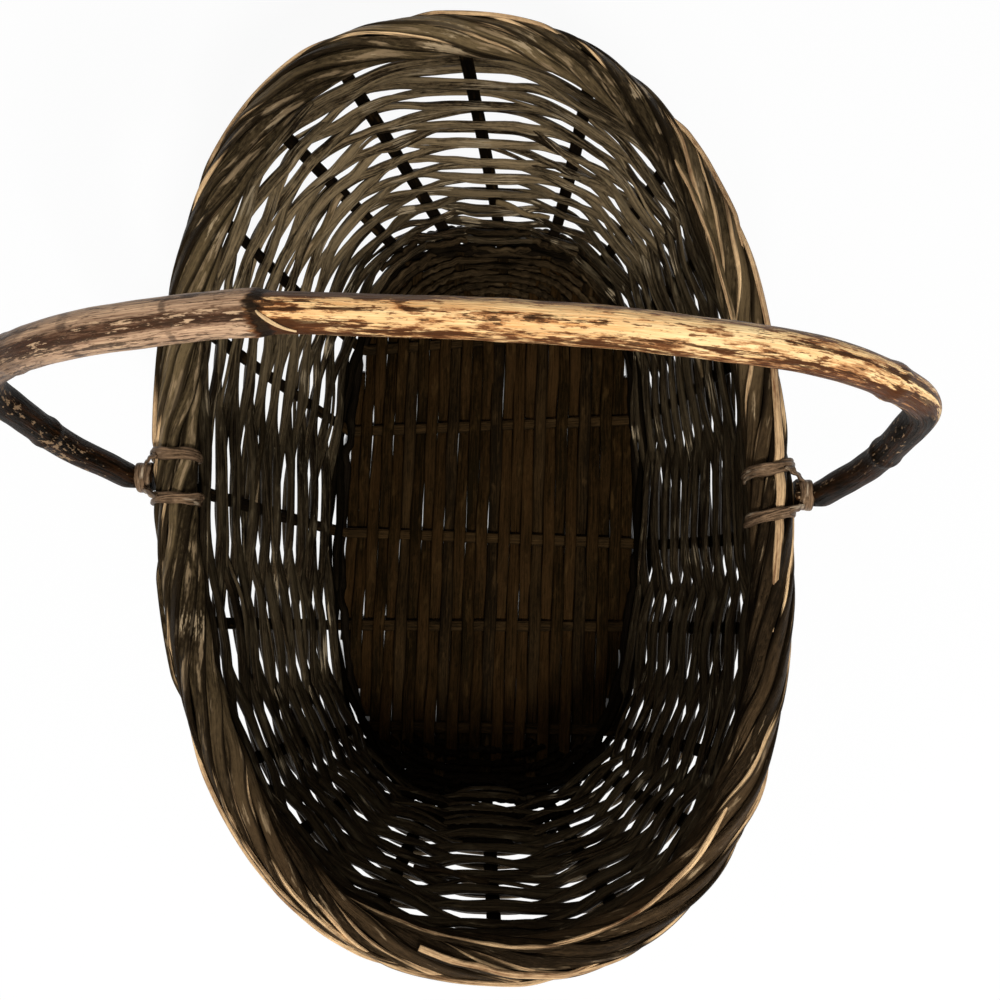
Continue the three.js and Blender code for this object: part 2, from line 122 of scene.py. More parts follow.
STRIP_SAMPLES = 1300

# Wall
WALL_RIM_INSET = 3
WALL_FLARE = 0.68
STAKE_SEAT = RIM_RADIUS + 0.8
WALL_TOP_HEIGHT = RIM_HEIGHT - math.sqrt(STAKE_SEAT ** 2 - WALL_RIM_INSET ** 2)
CROSS_STAKE_HEIGHT = SLAT_THICKNESS + CLEARANCE + STAKE_THICKNESS / 2
WALL_HEIGHT = WALL_TOP_HEIGHT - CROSS_STAKE_HEIGHT
SLAT_SWING = (STAKE_THICKNESS + SLAT_THICKNESS) / 2 + CLEARANCE

# Weavers
WEAVER_LOW_WIDTH = 4.1
WEAVER_HIGH_WIDTH = 5.5
WEAVER_THICKNESS = 3.1
WEAVER_SWING = 2.35
COURSE_COUNT = 6
STEPS_PER_WEAVER = 32
SAMPLES_PER_STEP = 18
FIRST_ROW_RISE = 2.6
TOP_ROW_DROP = 4.8
ROW_PITCH_RATIO = 1.45
ROW_COUNT = 2 * (COURSE_COUNT * STEPS_PER_WEAVER + 1) / UPRIGHT_COUNT + 1
SPLINT_WIDTH = 1.9
SPLINT_THICKNESS = 1.5
FAR_END_STEP = 7.5
FAR_END_REACH = 3.5

# Short arcs of cane on the floor's ends
PACKING_PITCH = 3.1
PACKING_WIDTH = 3.3
PACKING_THICKNESS = 1.8
PACKING_INSET = 0.6
PACKING_LOW = 1.9
PACKING_RISE = 1.1
PACKING_SWING = 1.15
PACKING_SAMPLES = 190
FAR_PACKING_ROWS = 8
NEAR_PACKING_ROWS = 5
FAR_PACKING_END = 88
NEAR_PACKING_END = 107

# Rows that fill the wall's foot and top, at levels from 0 at the floor to 1 at the rim
ROW_WANDER = 0.5
ROW_SAMPLES_PER_STEP = 26
FOOT_LEVELS = (0.0, 0.022, 0.05)
FOOT_ROW_SAMPLES = 640
FOOT_ROW_WIDTH = 4.4
FOOT_ROW_THICKNESS = 2.6
FOOT_ROW_LOW = 2.6
FOOT_ROW_SWING = 1.5
TOP_LEVEL = 0.984
TOP_GAP_STEPS = (5.9, 8.5)
TOP_ROW_SWING = 2.1
TOP_ROW_THICKNESS = 2.7
FAR_FILLING_LEVELS = (0.012, 0.05, 0.085)
NEAR_FILLING_LEVELS = (0.012, 0.06, 0.1, 0.145, 0.19, 0.24, 0.285, 0.33, 0.38)
FILLING_MARGIN = 0.35
FILLING_SWING = 2.0
FILLING_WIDTH = 3.5
FILLING_THICKNESS = 2.4
# Ends of cane on the wall: upright, level, how far they drop, and the way they go
WALL_ENDS = ((7, 0.25, 0.06, -1), (9, 0.55, 0.05, 1), (12, 0.62, 0.05, -1), (3, 0.7, 0.05, 1),
             (17, 0.66, 0.05, -1))
WALL_END_STEPS = 0.8
WALL_END_WIDTH = 3.8
WALL_END_THICKNESS = 2.6

# Handle
HANDLE_RADIUS = 6.2
HANDLE_GIRTH_PLACES = (0, 0.11, 0.22, 0.33, 0.44, 0.568, 0.592, 0.66, 0.78, 0.89, 1)
HANDLE_GIRTH_SHARES = (0.78, 0.77, 0.81, 0.825, 0.85, 0.85, 0.97, 0.99, 0.88, 0.8, 0.76)
HANDLE_SWAY_PLACES = (0, 0.1, 0.22, 0.32, 0.42, 0.5, 0.58, 0.66, 0.74, 0.86, 1)
HANDLE_SWAYS = (0, -0.4, -1.2, -1.0, 0.1, 1.7, 2.4, 0.3, -0.6, -0.3, 0)
STRAIGHT_END_LENGTH = 12
SWAY_TAPER_LENGTH = 25
HANDLE_SAMPLES = 520
HANDLE_NECK_RADIUS = 4
HANDLE_HEAD_RADIUS = 5
HANDLE_HEAD_LENGTH = 1.6
HANDLE_HEAD_EDGE = 0.6
HANDLE_NECK_LENGTH = 5
HANDLE_TAPER_LENGTH = 5
HANDLE_OUTREACH = 27
HANDLE_HALF_WIDTH = RIM_HALF_WIDTH + HANDLE_OUTREACH
HANDLE_RISE = 140
HANDLE_Y = -5.5
HANDLE_X = -RIM_SKEW_SHARE * HANDLE_Y
HANDLE_LEAN = math.radians(8.5)
HANDLE_NECK_REACH = 6.6
KNOT_SWELL = 0.45
KNOT_LENGTH = 5
RING_PLACE = 0.581
KNOT_PLACE_SHARES = (0.12, 0.25, RING_PLACE, 0.735, 0.88)
BOW_WIDTH_SHARES = (0.957, 0.99, 1, 0.98, 0.855, 0.634, 0.331)
BOW_RISE_SHARES = (0.116, 0.266, 0.486, 0.679, 0.824, 0.94, 0.994)
HANDLE_END_X = RIM_HALF_WIDTH + RIM_RADIUS + RIM_SKEW_SHARE * HANDLE_HEAD_RADIUS + CLEARANCE
SPLINTER_GAP_SHARE = 0.003
SPLINTER_LENGTH_SHARE = 0.018
SPLINTER_THICKNESS = 0.6
SPLINTER_TOP_ANGLE = math.radians(20)
SPLINTER_TURN = math.radians(60)
# Fainter marks of joints on the handle's greyer section: place and half width as shares of it
JOINT_MARKS = ((RING_PLACE + 0.044, 0.0024), (RING_PLACE + 0.1, 0.0045))

# Lashings
BAND_SPACING = 16.4
BAND_WIDTH = 3.8
BAND_THICKNESS = 1.2
EYE_LENGTH = 3
EYE_WALL = 2
EYE_TURN_COUNT = 3
EYE_TURN_PITCH = 1.55
EYE_TURN_WIDTH = 2.3
ARCH_WIDTH = 3.4
ARCH_THICKNESS = 1.1
ARCH_RISE = 1.6
LEFT_BAND_SLANT = 0.3
RIGHT_BAND_SLANT = 2.2
# A band's two turns: width, distance from the rim, and how far the turn swings across the band
BAND_TURNS = ((BAND_WIDTH + 0.8, 0.55, 0.0), (0.42 * BAND_WIDTH, 1.15, 1.3))

# Camera, from the photograph: its place, its turn as a rotation vector, and its field
CAMERA_PLACE = (37.4, -60.3, 509.1)
CAMERA_TURN_DEGREES = (7.255, 3.502, 1.781)
FOCAL_PIXELS = 1080
FRAME_PIXELS = 1000
SENSOR_WIDTH = 36

# Floor and light: lamps by name, place in metres, size in metres and power in watts
FLOOR_PLANE_HALF = 3000
FLOOR_PLANE_DROP = 0.4
SHADE_MARGIN = 4
FLOOR_GLOW = 0.93
WORLD_STRENGTH = 0.27
LAMPS = (("key", (0.3, -0.85, 1.2), 0.28, 21), ("fill", (-0.8, 0.4, 1.3), 0.8, 3.5))
LAMP_AIM = (0, 0, 0.06)


def unit(vectors):
    """Vectors divided by their lengths."""
    return vectors / np.linalg.norm(vectors, axis=-1, keepdims=True)


def smooth_step(value):
    """0 below 0, 1 above 1, and 3v^2 - 2v^3 between."""
    value = np.clip(value, 0, 1)
    return value * value * (3 - 2 * value)


def bell(away, reach):
    """e to the power -(away / reach)^2."""
    return np.exp(-(away / reach) ** 2)


def tucked_ends(share, reach):
    """1 along a strand, and down to 0 at both its ends on a smooth step."""
    return smooth_step(np.minimum(share, 1 - share) / reach)


def ripple(share, lowest, highest, seed):
    """A smooth wander between about -1 and 1 that closes on itself over a share from 0 to 1: the
    mean of six sines with seeded phases, whose whole numbers of waves lie between two limits."""
    rng = np.random.default_rng(seed)
    waves = rng.integers(lowest, highest + 1, size=6)
    phases = rng.uniform(0, TURN, size=6)
    return 2 * np.sin(TURN * share[:, None] * waves + phases).mean(axis=1)


def signed_power(value, exponent):
    """|v|^n with the sign of v."""
    return np.sign(value) * np.abs(value) ** exponent


def stepped(places, heights, at):
    """Values that go from one place to the next on smooth steps."""
    places, heights = np.array(places, dtype=float), np.array(heights, dtype=float)
    index = np.clip(np.searchsorted(places, at) - 1, 0, len(places) - 2)
    share = smooth_step((at - places[index]) / (places[index + 1] - places[index]))
    return heights[index] * (1 - share) + heights[index + 1] * share


def soften(path, passes):
    """A path whose inner points are drawn to the mean of their neighbours, a few times over."""
    path = path.copy()
    for _ in range(passes):
        path[1:-1] = (path[:-2] + 2 * path[1:-1] + path[2:]) / 4
    return path


def run_lengths(line):
    """Distance from a line's start to each of its points."""
    return np.concatenate([[0], np.cumsum(np.linalg.norm(np.diff(line, axis=0), axis=1))])


def strip_profile(points, squareness):
    """Corners of a superellipse |a|^n + |b|^n = 1, the same angle apart."""
    angle = TURN * (np.arange(points) + 0.5) / points
    return np.stack([signed_power(np.cos(angle), 2 / squareness),
                     signed_power(np.sin(angle), 2 / squareness)], axis=1)


def grid_faces(rows, columns, closed):
    """Quads over a grid of rings. An open row of rings gets a cap of quads at both ends, which
    join corners that lie across from each other."""
    row = np.arange(rows if closed else rows - 1)[:, None]
    column = np.arange(columns)[None, :]
    beside = (column + 1) % columns
    following = (row + 1) % rows
    faces = np.stack([row * columns + column, row * columns + beside,
                      following * columns + beside, following * columns + column], axis=-1)
    faces = faces.reshape(-1, 4)
    if closed:
        return faces
    first = np.arange(columns // 2 - 1)
    cap = np.stack([columns - 1 - first, columns - 2 - first, first + 1, first], axis=1)
    return np.concatenate([faces, cap, cap[:, ::-1] + (rows - 1) * columns])


def sweep(centre, face, width, thickness, profile, roll, closed):
    """A profile carried along a centreline. Its first axis lies across the line and in the
    surface whose outward direction is face, its second along that direction, and both turn by
    roll about the line. Returns the points and their place along and across the strand."""
    if closed:
        tangent = unit(np.roll(centre, -1, axis=0) - np.roll(centre, 1, axis=0))
    else:
        tangent = unit(np.gradient(centre, axis=0))
    side = unit(np.cross(face, tangent))
    out = np.cross(tangent, side)
    roll = np.broadcast_to(roll, len(centre))[:, None]
    across = side * np.cos(roll) + out * np.sin(roll)
    depth = out * np.cos(roll) - side * np.sin(roll)
    a = np.broadcast_to(width, len(centre))[:, None] / 2 * profile[:, 0]
    b = np.broadcast_to(thickness, len(centre))[:, None] / 2 * profile[:, 1]
    points = centre[:, None] + a[..., None] * across[:, None] + b[..., None] * depth[:, None]
    along = np.broadcast_to(run_lengths(centre)[:, None], a.shape)
    return points.reshape(-1, 3), np.stack([along, a, b], axis=-1).reshape(-1, 3)


def put(name, data):
    """A new object in the scene."""
    thing = bpy.data.objects.new(name, data)
    bpy.context.scene.collection.objects.link(thing)
    return thing


class Strands:
    """Strands that are put together to one piece. Each point carries three attributes: cane runs
    along the strand in metres and across it in y and z, strand is one number for each strand, and
    wear says how far the bark is off."""

    def __init__(self):
        self.points, self.faces, self.cane, self.strand, self.wear = [], [], [], [], []
        self.count = 0

    def add(self, centre, face, width, thickness, section, seed, roll=0.0, closed=False, wear=0.0):
        """One strand along a centreline. Its section gives a number of corners and a squareness."""
        profile = strip_profile(*section)
        points, cane = sweep(centre, face, width, thickness, profile, roll, closed)
        cane[:, 0] += 1000 * (seed % 97)
        self.faces.append(grid_faces(len(centre), len(profile), closed) + self.count)
        self.points.append(points)
        self.cane.append(cane)
        self.strand.append(np.full(len(points), np.random.default_rng(seed).uniform()))
        self.wear.append(np.repeat(np.broadcast_to(wear, len(centre)), len(profile)))
        self.count += len(points)
        return self

    def piece(self, name, material, slot, *nodes):
        """The strands as one piece on its body, in the place of the CAD nodes named."""
        mesh = bpy.data.meshes.new(name)
        mesh.from_pydata(np.concatenate(self.points) * MM, [], np.concatenate(self.faces))
        for label, kind, field, values in (
                ("cane", "FLOAT_VECTOR", "vector", np.concatenate(self.cane) * MM),
                ("strand", "FLOAT", "value", np.concatenate(self.strand)),
                ("wear", "FLOAT", "value", np.concatenate(self.wear))):
            attribute = mesh.attributes.new(label, kind, "POINT")
            attribute.data.foreach_set(field, np.asarray(values, dtype=np.float32).ravel())
        mesh.materials.append(material)
        mesh.shade_smooth()
        mesh.update()
        piece = put(name, mesh)
        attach(piece, "handle" if slot == "handle" else "basket")
        if nodes:
            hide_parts(*nodes)


# Materials
class Socket:
    """A socket of a finish's nodes. Arithmetic on it adds Math nodes."""

    def __init__(self, finish, socket):
        self.finish, self.socket = finish, socket

    def __add__(self, other):
        return self.finish.math("ADD", self, other)

    def __sub__(self, other):
        return self.finish.math("SUBTRACT", self, other)

    def __rsub__(self, other):
        return self.finish.math("SUBTRACT", other, self)

    def __mul__(self, other):
        return self.finish.math("MULTIPLY", self, other)

    def __pow__(self, other):
        return self.finish.math("POWER", self, other)

    __radd__ = __add__
    __rmul__ = __mul__


class Finish:
    """Nodes round one shader, of a material or of the world."""

    def __init__(self, owner, shader="Principled BSDF"):
        owner.use_nodes = True
        self.owner, self.tree = owner, owner.node_tree
        self.shader = self.tree.nodes[shader]

    def feed(self, socket, value):
        """A link from another node, or a value on the socket itself."""
        if isinstance(value, Socket):
            self.tree.links.new(value.socket, socket)
        else:
            socket.default_value = value

    def set(self, **values):
        """Values or links for the shader's own sockets, by name."""
        for name, value in values.items():
            self.feed(self.shader.inputs[name.replace("_", " ")], value)

    def node(self, kind, inputs=(), output=0, **settings):
        """A node of a kind, with its settings first, then what feeds its sockets."""
        node = self.tree.nodes.new("ShaderNode" + kind)
        for name, value in settings.items():
            setattr(node, name, value)
        for place, value in dict(inputs).items():
            self.feed(node.inputs[place], value)
        return Socket(self, node.outputs[output])

    def math(self, operation, *values):
        """A Math node's result."""
        return self.node("Math", enumerate(values), operation=operation)

    def clamp(self, value):
        """The value held between 0 and 1."""
        return self.node("Clamp", {"Value": value})

    def size(self, value):
        """The value without its sign."""
        return self.math("ABSOLUTE", value)

    def between(self, value, low, high):
        """0 where the value is low, 1 where it is high, smooth between."""
        return self.node("MapRange", {"Value": value, "From Min": low, "From Max": high},
                         interpolation_type="SMOOTHSTEP")

    def mix(self, factor, first, second):
        """The first colour where the factor is 0 and the second where it is 1."""
        first, second = (value if isinstance(value, Socket) else color(*value)
                         for value in (first, second))
        return self.node("Mix", {0: factor, 6: first, 7: second}, output=2, data_type="RGBA")

    def layers(self, base, *rows):
        """Colours laid over a base one after another. Each row gives a value, where it is low and
        high, the share of the colour where it is high, and the colour."""
        for value, low, high, share, tint in rows:
            base = self.mix(self.between(value, low, high) * share, base, tint)
        return base

    def attribute(self, name, output="Fac"):
        """An attribute of the mesh."""
        return self.node("Attribute", output=output, attribute_name=name)

    def noise(self, vector, along, across, detail=3.0, roughness=0.55):
        """Noise with so many lumps in a metre along the cane and across it."""
        stretched = self.node("VectorMath", {0: vector, 1: (along, across, across)},
                              operation="MULTIPLY")
        return self.node("TexNoise", {"Vector": stretched, "Scale": 1.0, "Detail": detail,
                                      "Roughness": roughness})

    def close_to(self, vector, point, reach):
        """1 at a point and 0 beyond a reach from it."""
        away = self.node("VectorMath", {0: vector, 1: point}, output="Value", operation="DISTANCE")
        return self.between(away, reach, 0)

    def part(self, vector, axis):
        """One number of a vector."""
        return self.node("SeparateXYZ", {0: vector}, output=axis)

    def bump(self, height, distance, strength):
        """Small relief from a height."""
        self.set(Normal=self.node("Bump", {"Height": height, "Distance": distance,
                                           "Strength": strength}))


def color(red, green, blue):
    """A display colour from 0 to 255 as linear light."""
    shares = np.array([red, green, blue]) / 255
    linear = np.where(shares <= 0.04045, shares / 12.92, ((shares + 0.055) / 1.055) ** 2.4)
    return (*linear, 1.0)


BARK_SHEEN = color(255, 206, 150)


def cane_finish(name, width, dark, light, dust, roughness=0.45, shine=0.2, chips=0.0, wood=None,
                wall_painted_shade=None, far_wall_painted_light=None):
    """Split cane: fine grain along the strand, mottles, slow changes of tone along it and from
    strand to strand, painted shade along its edges where it meets the next strand, patches of
    dust and pale specks where the bark has chipped. Wood is the colour where wear has taken the
    bark off. With the wall's painted shade, the cane takes darker colours above the floor, where
    it climbs the wall among the weavers. With the far wall's painted light, it takes lighter,
    greyer colours high on the far end's wall, where the light falls."""
    finish = Finish(bpy.data.materials.new(name))
    mix, between, part = finish.mix, finish.between, finish.part
    cane = finish.attribute("cane", "Vector")
    grain = finish.noise(cane, 50, 1500, 4.0)
    drift = finish.noise(cane, 24, 70, 2.0)
    patch = finish.noise(cane, 80, 300, 4.0)
    mottle = finish.noise(cane, 380, 900, 3.0, 0.65)
    tone = finish.clamp(2.0 * (grain - 0.5) + 1.2 * (mottle - 0.5) + 1.6 * (drift - 0.5)
                        + 0.6 * (finish.attribute("strand") - 0.5) + 0.38)
    shown = mix(tone, dark, light)
    place = finish.node("TexCoord", output="Object")
    # Painted shade: darker colours above the floor, where the stakes climb the wall among the
    # weavers
    if wall_painted_shade:
        shown = mix(between(part(place, 2), 0.005, 0.014), shown, mix(tone, *wall_painted_shade))
    # Painted light: a lighter, greyer copy of the colours high on the far end's wall, where the
    # light falls
    if far_wall_painted_light:
        grey = (between(part(place, 1) - 0.35 * part(place, 0), 0.05, 0.12)
                * between(part(place, 2), 0.015, 0.06))
        shown = mix(grey, shown, mix(finish.clamp(1.4 * tone), *far_wall_painted_light))
    dusted = between(patch, 0.56, 0.72) * 0.5
    shown = mix(dusted, shown, dust)
    if chips:
        chip = finish.noise(cane, 260, 1200, 4.0, 0.7)
        shown = finish.layers(shown, (chip, 0.66, 0.74, chips, (166, 150, 124)))
    if wood:
        wear = 0.6 * finish.attribute("wear") + 1.5 * (grain - 0.5) + 0.5 * (patch - 0.5)
        shown = finish.layers(shown, (wear, 0.42, 0.55, 0.85, mix(mottle, *wood)))
    # Painted shade: the colour goes to the dark tone along each strand's edges, where strands meet
    edge = finish.size(part(cane, 1)) * (2 / (width * MM)) + 0.3 * (mottle - 0.5)
    finish.set(Base_Color=finish.layers(shown, (edge, 0.66, 1.0, 0.7, dark)),
               Roughness=finish.clamp(roughness + 0.5 * (grain - 0.5) + 0.2 * dusted),
               Specular_IOR_Level=shine, Specular_Tint=BARK_SHEEN)
    finish.bump(grain + 0.5 * patch + 0.5 * mottle, 0.0009, 0.8)
    return finish.owner


def rim_finish():
    """Charred bark in long streaks, leathery where it is worn and lighter towards the far left,
    which is painted light, with painted shade along its edges where it meets the next cane, and
    pale split wood along the raised edge where wear has taken the bark off."""
    finish = Finish(bpy.data.materials.new("rim cane"))
    mix = finish.mix
    cane = finish.attribute("cane", "Vector")
    across = finish.part(cane, 1) * (2 / (RIM_CANE_WIDTH * MM))
    grain = finish.noise(cane, 40, 1400, 5.0, 0.6)
    streak = finish.noise(cane, 28, 620, 4.0)
    drift = finish.noise(cane, 16, 60, 2.0)
    patch = finish.noise(cane, 60, 340, 4.0)
    mottle = finish.noise(cane, 330, 800, 4.0, 0.65)
    place = finish.node("TexCoord", output="Object")
    # Painted light: the bark takes lighter colours and more pale patches towards the far left,
    # where the light falls
    far_left_painted_light = finish.between(finish.part(place, 1) - 0.8 * finish.part(place, 0), -0.1, 0.06)
    tone = finish.clamp(1.1 * (grain - 0.5) + 1.7 * (mottle - 0.5) + 0.8 * (streak - 0.5)
                        + 1.9 * (drift - 0.5) + 1.1 * (finish.attribute("strand") - 0.5) + 0.4)
    bark = mix(far_left_painted_light, mix(tone, (13, 9, 5), (64, 49, 32)), mix(tone, (28, 22, 13), (106, 89, 62)))
    top = (RIM_HEIGHT + RIM_RADIUS) * MM
    scuff = sum(finish.close_to(place, (x * MM, y * MM, top), reach * MM)
                for x, y, reach in RIM_SCUFFS)
    scuff = (0.3 * finish.clamp(scuff) + 0.9 * (patch - 0.5) + 0.3 * (mottle - 0.5)
             + 0.5 * (grain - 0.5))
    bark = finish.layers(
        bark,
        (patch + 0.25 * (drift - 0.5) + 0.06 * far_left_painted_light, 0.6, 0.7, 0.7, (158, 134, 102)),
        (streak, 0.57, 0.64, 0.4, (20, 14, 8)),
        (scuff, 0.2, 0.3, 0.8, mix(mottle, (112, 96, 72), (214, 188, 150))),
        # Painted shade along the cane's edges, where it meets the next cane
        (finish.size(across + 0.1) + 0.2 * (mottle - 0.5), 0.6, 1.0, 0.85, (8, 6, 4)))
    wood = mix(finish.clamp(1.8 * (grain - 0.5) + 0.9 * (mottle - 0.5) + 1.8 * (drift - 0.5) + 0.5),
               (112, 76, 50), (236, 198, 148))
    bare = finish.between(0.5 * across + 0.95 * finish.attribute("wear") + 0.8 * (drift - 0.5)
                          + 0.35 * (grain - 0.5), 0.62, 0.74)
    finish.set(Base_Color=mix(bare, bark, wood),
               Roughness=finish.clamp(0.46 + 0.4 * (grain - 0.5) + 0.15 * bare),
               Specular_IOR_Level=0.16, Specular_Tint=BARK_SHEEN)
    finish.bump(grain + 0.6 * streak + 0.5 * patch + 0.6 * mottle, 0.0011, 0.8)
    return finish.owner


def handle_finish():
    """Polished golden cane on the bar, with brown streaks that crowd on its edges, a greyer
    section beyond the dark ring of its joint, and charred arms with a few chips."""
    finish = Finish(bpy.data.materials.new("handle cane"))
    mix, between, size = finish.mix, finish.between, finish.size
    cane = finish.attribute("cane", "Vector")
    share = finish.part(cane, 0) * (1 / (HANDLE_LENGTH * MM))
    near = finish.part(cane, 1) * (1 / (0.86 * HANDLE_RADIUS * MM))
    streak = finish.noise(cane, 30, 600, 6.0, 0.65)
    blotch = finish.noise(cane, 80, 330, 6.0, 0.65)
    fleck = finish.noise(cane, 150, 950, 5.0, 0.65)
    fine = finish.noise(cane, 90, 2200, 4.0)
    drift = finish.noise(cane, 18, 90, 3.0)
    chip = finish.noise(cane, 300, 900, 3.0)
    speck = finish.noise(cane, 300, 1700, 3.0, 0.6)

    lower = between(near, 0.5, 0.95)
    upper = between(near, -0.22, -0.68)
    middle = 1 - between(size(near - 0.12 + 0.5 * (drift - 0.5)), 0.02, 0.26)
    from_ring = between(share, RING_PLACE - 0.14, RING_PLACE - 0.01)
    by_ring = between(share + 0.03 * (drift - 0.5), RING_PLACE - 0.045, RING_PLACE - 0.015)
    from_bend = 1 - between(share, 0.24, 0.4)
    browned = (0.09 * lower + 0.07 * upper + 0.05 * middle + 0.03 * from_ring + 0.06 * from_bend
               + 0.06 * by_ring)
    gold = mix(finish.clamp(1.8 * (fine - 0.5) + 1.2 * (drift - 0.5) + 0.5),
               (220, 158, 96), (255, 224, 166))
    gold = finish.layers(
        gold,
        (0.5 * blotch + 0.5 * fleck + 0.8 * browned, 0.53, 0.58, 0.65, (158, 92, 46)),
        (fleck + 1.1 * browned, 0.6, 0.65, 0.85, (92, 50, 24)),
        (speck + 0.9 * browned, 0.62, 0.68, 0.75, (112, 62, 32)),
        (0.7 * streak + 0.3 * fleck + browned, 0.59, 0.625, 0.9, (54, 31, 16)),
        (blotch + 0.5 * from_ring * upper + 0.04 * from_ring, 0.62, 0.66, 0.85, (44, 28, 18)),
        (fleck, 0.34, 0.56, 0.8 * upper, (116, 90, 74)),
        (fleck, 0.34, 0.58, 0.6 * lower, (82, 46, 24)))

    grey = mix(finish.clamp(1.8 * (fine - 0.5) + 1.4 * (drift - 0.5) + 0.55),
               (124, 94, 72), (220, 182, 146))
    band = between(near + 0.6 * (drift - 0.5), 0.0, 0.3) * (1 - between(near, 0.74, 0.92))
    grey = finish.layers(
        mix(band * 0.75, grey, (74, 46, 30)),
        (0.6 * streak + 0.4 * fleck + 0.05 * band, 0.515, 0.55, 0.85, (40, 26, 18)),
        (speck + 0.1 * band, 0.56, 0.64, 0.6, (70, 44, 30)),
        (blotch + 0.06 * band, 0.6, 0.65, 0.7, (48, 32, 24)),
        (fleck + 0.03 * band, 0.59, 0.65, 0.65, (228, 190, 150)),
        (share + 0.16 * (blotch - 0.5), 0.69, 0.74, 0.65, (66, 50, 40)))

    arm = mix(between(0.6 * streak + 0.4 * fleck, 0.45, 0.65), (5, 3, 1), (52, 29, 12))
    arm = finish.layers(arm, (0.6 * chip + 0.4 * drift, 0.585, 0.63, 0.7, (160, 130, 98)))
    wobble = 0.1 * (drift - 0.5) + 0.07 * (streak - 0.5)
    bar = between(share + wobble, 0.2, 0.235) * (1 - between(share + wobble, 0.765, 0.8))
    beyond = between(share + 0.02 * (streak - 0.5), RING_PLACE - 0.001, RING_PLACE + 0.004)
    body = mix(bar, arm, mix(beyond, gold, grey))
    for place, half in JOINT_MARKS:
        away = size(share - place + 0.001 * near + 0.005 * (streak - 0.5))
        mark = (1 - between(away, 0.4 * half, half)) * between(blotch, 0.4, 0.56)
        body = mix(mark * 0.7, body, (58, 42, 34))
    ring = size(share - RING_PLACE + 0.005 * size(near) + 0.01 * (streak - 0.5))
    ring = (1 - between(ring, 0.002, 0.0046)) * 0.95
    finish.set(Base_Color=mix(ring, body, (26, 20, 15)),
               Roughness=finish.clamp(0.38 + 0.5 * (fine - 0.5) + 0.16 * (1 - bar)),
               Specular_IOR_Level=0.1, Specular_Tint=BARK_SHEEN)
    finish.bump(0.7 * fine + streak + 0.7 * fleck + 0.5 * blotch - 1.5 * ring, 0.0008, 0.7)
    return finish.owner


# The wall
def wall_oval(level):
    """Half sizes, exponent, height and spread of the wall's oval at a level, 0 at the floor's
    edge and 1 at the rim."""
    spread = np.clip(level, 0, None) ** WALL_FLARE
    half_width = FLOOR_HALF_WIDTH + spread * (RIM_HALF_WIDTH - WALL_RIM_INSET - FLOOR_HALF_WIDTH)
    half_length = (FLOOR_HALF_LENGTH
                   + spread * (RIM_HALF_LENGTH - WALL_RIM_INSET - FLOOR_HALF_LENGTH))
    exponent = FLOOR_EXPONENT + spread * (RIM_EXPONENT - FLOOR_EXPONENT)
    return half_width, half_length, exponent, CROSS_STAKE_HEIGHT + level * WALL_HEIGHT, spread


def oval_reach(along, half_along, half_reach, exponent):
    """Half width of the oval |x/a|^n + |y/b|^n = 1 at a distance along its other axis."""
    share = np.minimum(np.abs(along) / half_along, 1)
    return half_reach * (1 - share ** exponent) ** (1 / exponent)


def slat_x(slat):
    """Place of a slat's middle across the floor."""
    return (slat - (SLAT_COUNT - 1) / 2) * SLAT_PITCH


def upright_angles(level):
    """The oval's angle parameter at each of the 20 uprights, in order round the oval from the
    right side's near corner, for an array of levels."""
    half_width, half_length, exponent, _, spread = wall_oval(level)
    x, y = [], []
    right = list(zip(CROSS_RIGHT_FLOOR_SHARES, CROSS_RIGHT_RIM_SHARES))
    left = list(zip(CROSS_LEFT_FLOOR_SHARES, CROSS_LEFT_RIM_SHARES))
    feet = [slat_x(slat) for slat in LONG_SLATS]
    far = list(zip(feet, LONG_FAR_RIM_SHARES))
    near = list(zip(feet, LONG_NEAR_RIM_SHARES))
    rim_width = RIM_HALF_WIDTH - WALL_RIM_INSET
    rim_length = RIM_HALF_LENGTH - WALL_RIM_INSET
    for sign, sides, ends in ((1, right[::-1], far[::-1]), (-1, left, near)):
        for foot, head in sides:
            foot = foot * FLOOR_HALF_LENGTH
            along = foot + spread * (head * rim_length - foot)
            y.append(along)
            x.append(sign * oval_reach(along, half_length, half_width, exponent))
        for foot, head in ends:
            along = foot + spread * (head * rim_width - foot)
            x.append(along)
            y.append(sign * oval_reach(along, half_width, half_length, exponent))
    angle = np.arctan2(signed_power(np.array(y) / half_length, exponent / 2),
                       signed_power(np.array(x) / half_width, exponent / 2))
    return np.unwrap(np.concatenate([angle, angle[:1]]), axis=0)


def wall_place(step, level):
    """Points on the wall. Step counts uprights round the oval; between two of them the oval's
    angle runs evenly."""
    half_width, half_length, exponent, height, spread = wall_oval(level)
    angles = upright_angles(level)
    place = step - np.floor(step / UPRIGHT_COUNT) * UPRIGHT_COUNT
    low = np.minimum(np.floor(place).astype(int), UPRIGHT_COUNT - 1)
    which = np.arange(len(step))
    share = place - low
    angle = angles[low, which] * (1 - share) + angles[low + 1, which] * share
    y = half_length * signed_power(np.sin(angle), 2 / exponent)
    x = half_width * signed_power(np.cos(angle), 2 / exponent) - RIM_SKEW_SHARE * spread * y
    return np.stack([x, y, height], axis=1)


def wall_face(step, level):
    """The wall's outward direction: its direction round the oval crossed with its climb."""
    small_step, small_level = 0.05, 0.01
    along = wall_place(step + small_step, level) - wall_place(step - small_step, level)
    high = np.clip(level + small_level, small_level, 1)
    low = np.clip(level - small_level, small_level / 2, 1)
    return unit(np.cross(along, wall_place(step, high) - wall_place(step, low)))


def off_wall(step, level, offset):
    """Points at a distance outwards from the wall, and the wall's outward directions."""
    face = wall_face(step, level)
    return wall_place(step, level) + face * offset[:, None], face


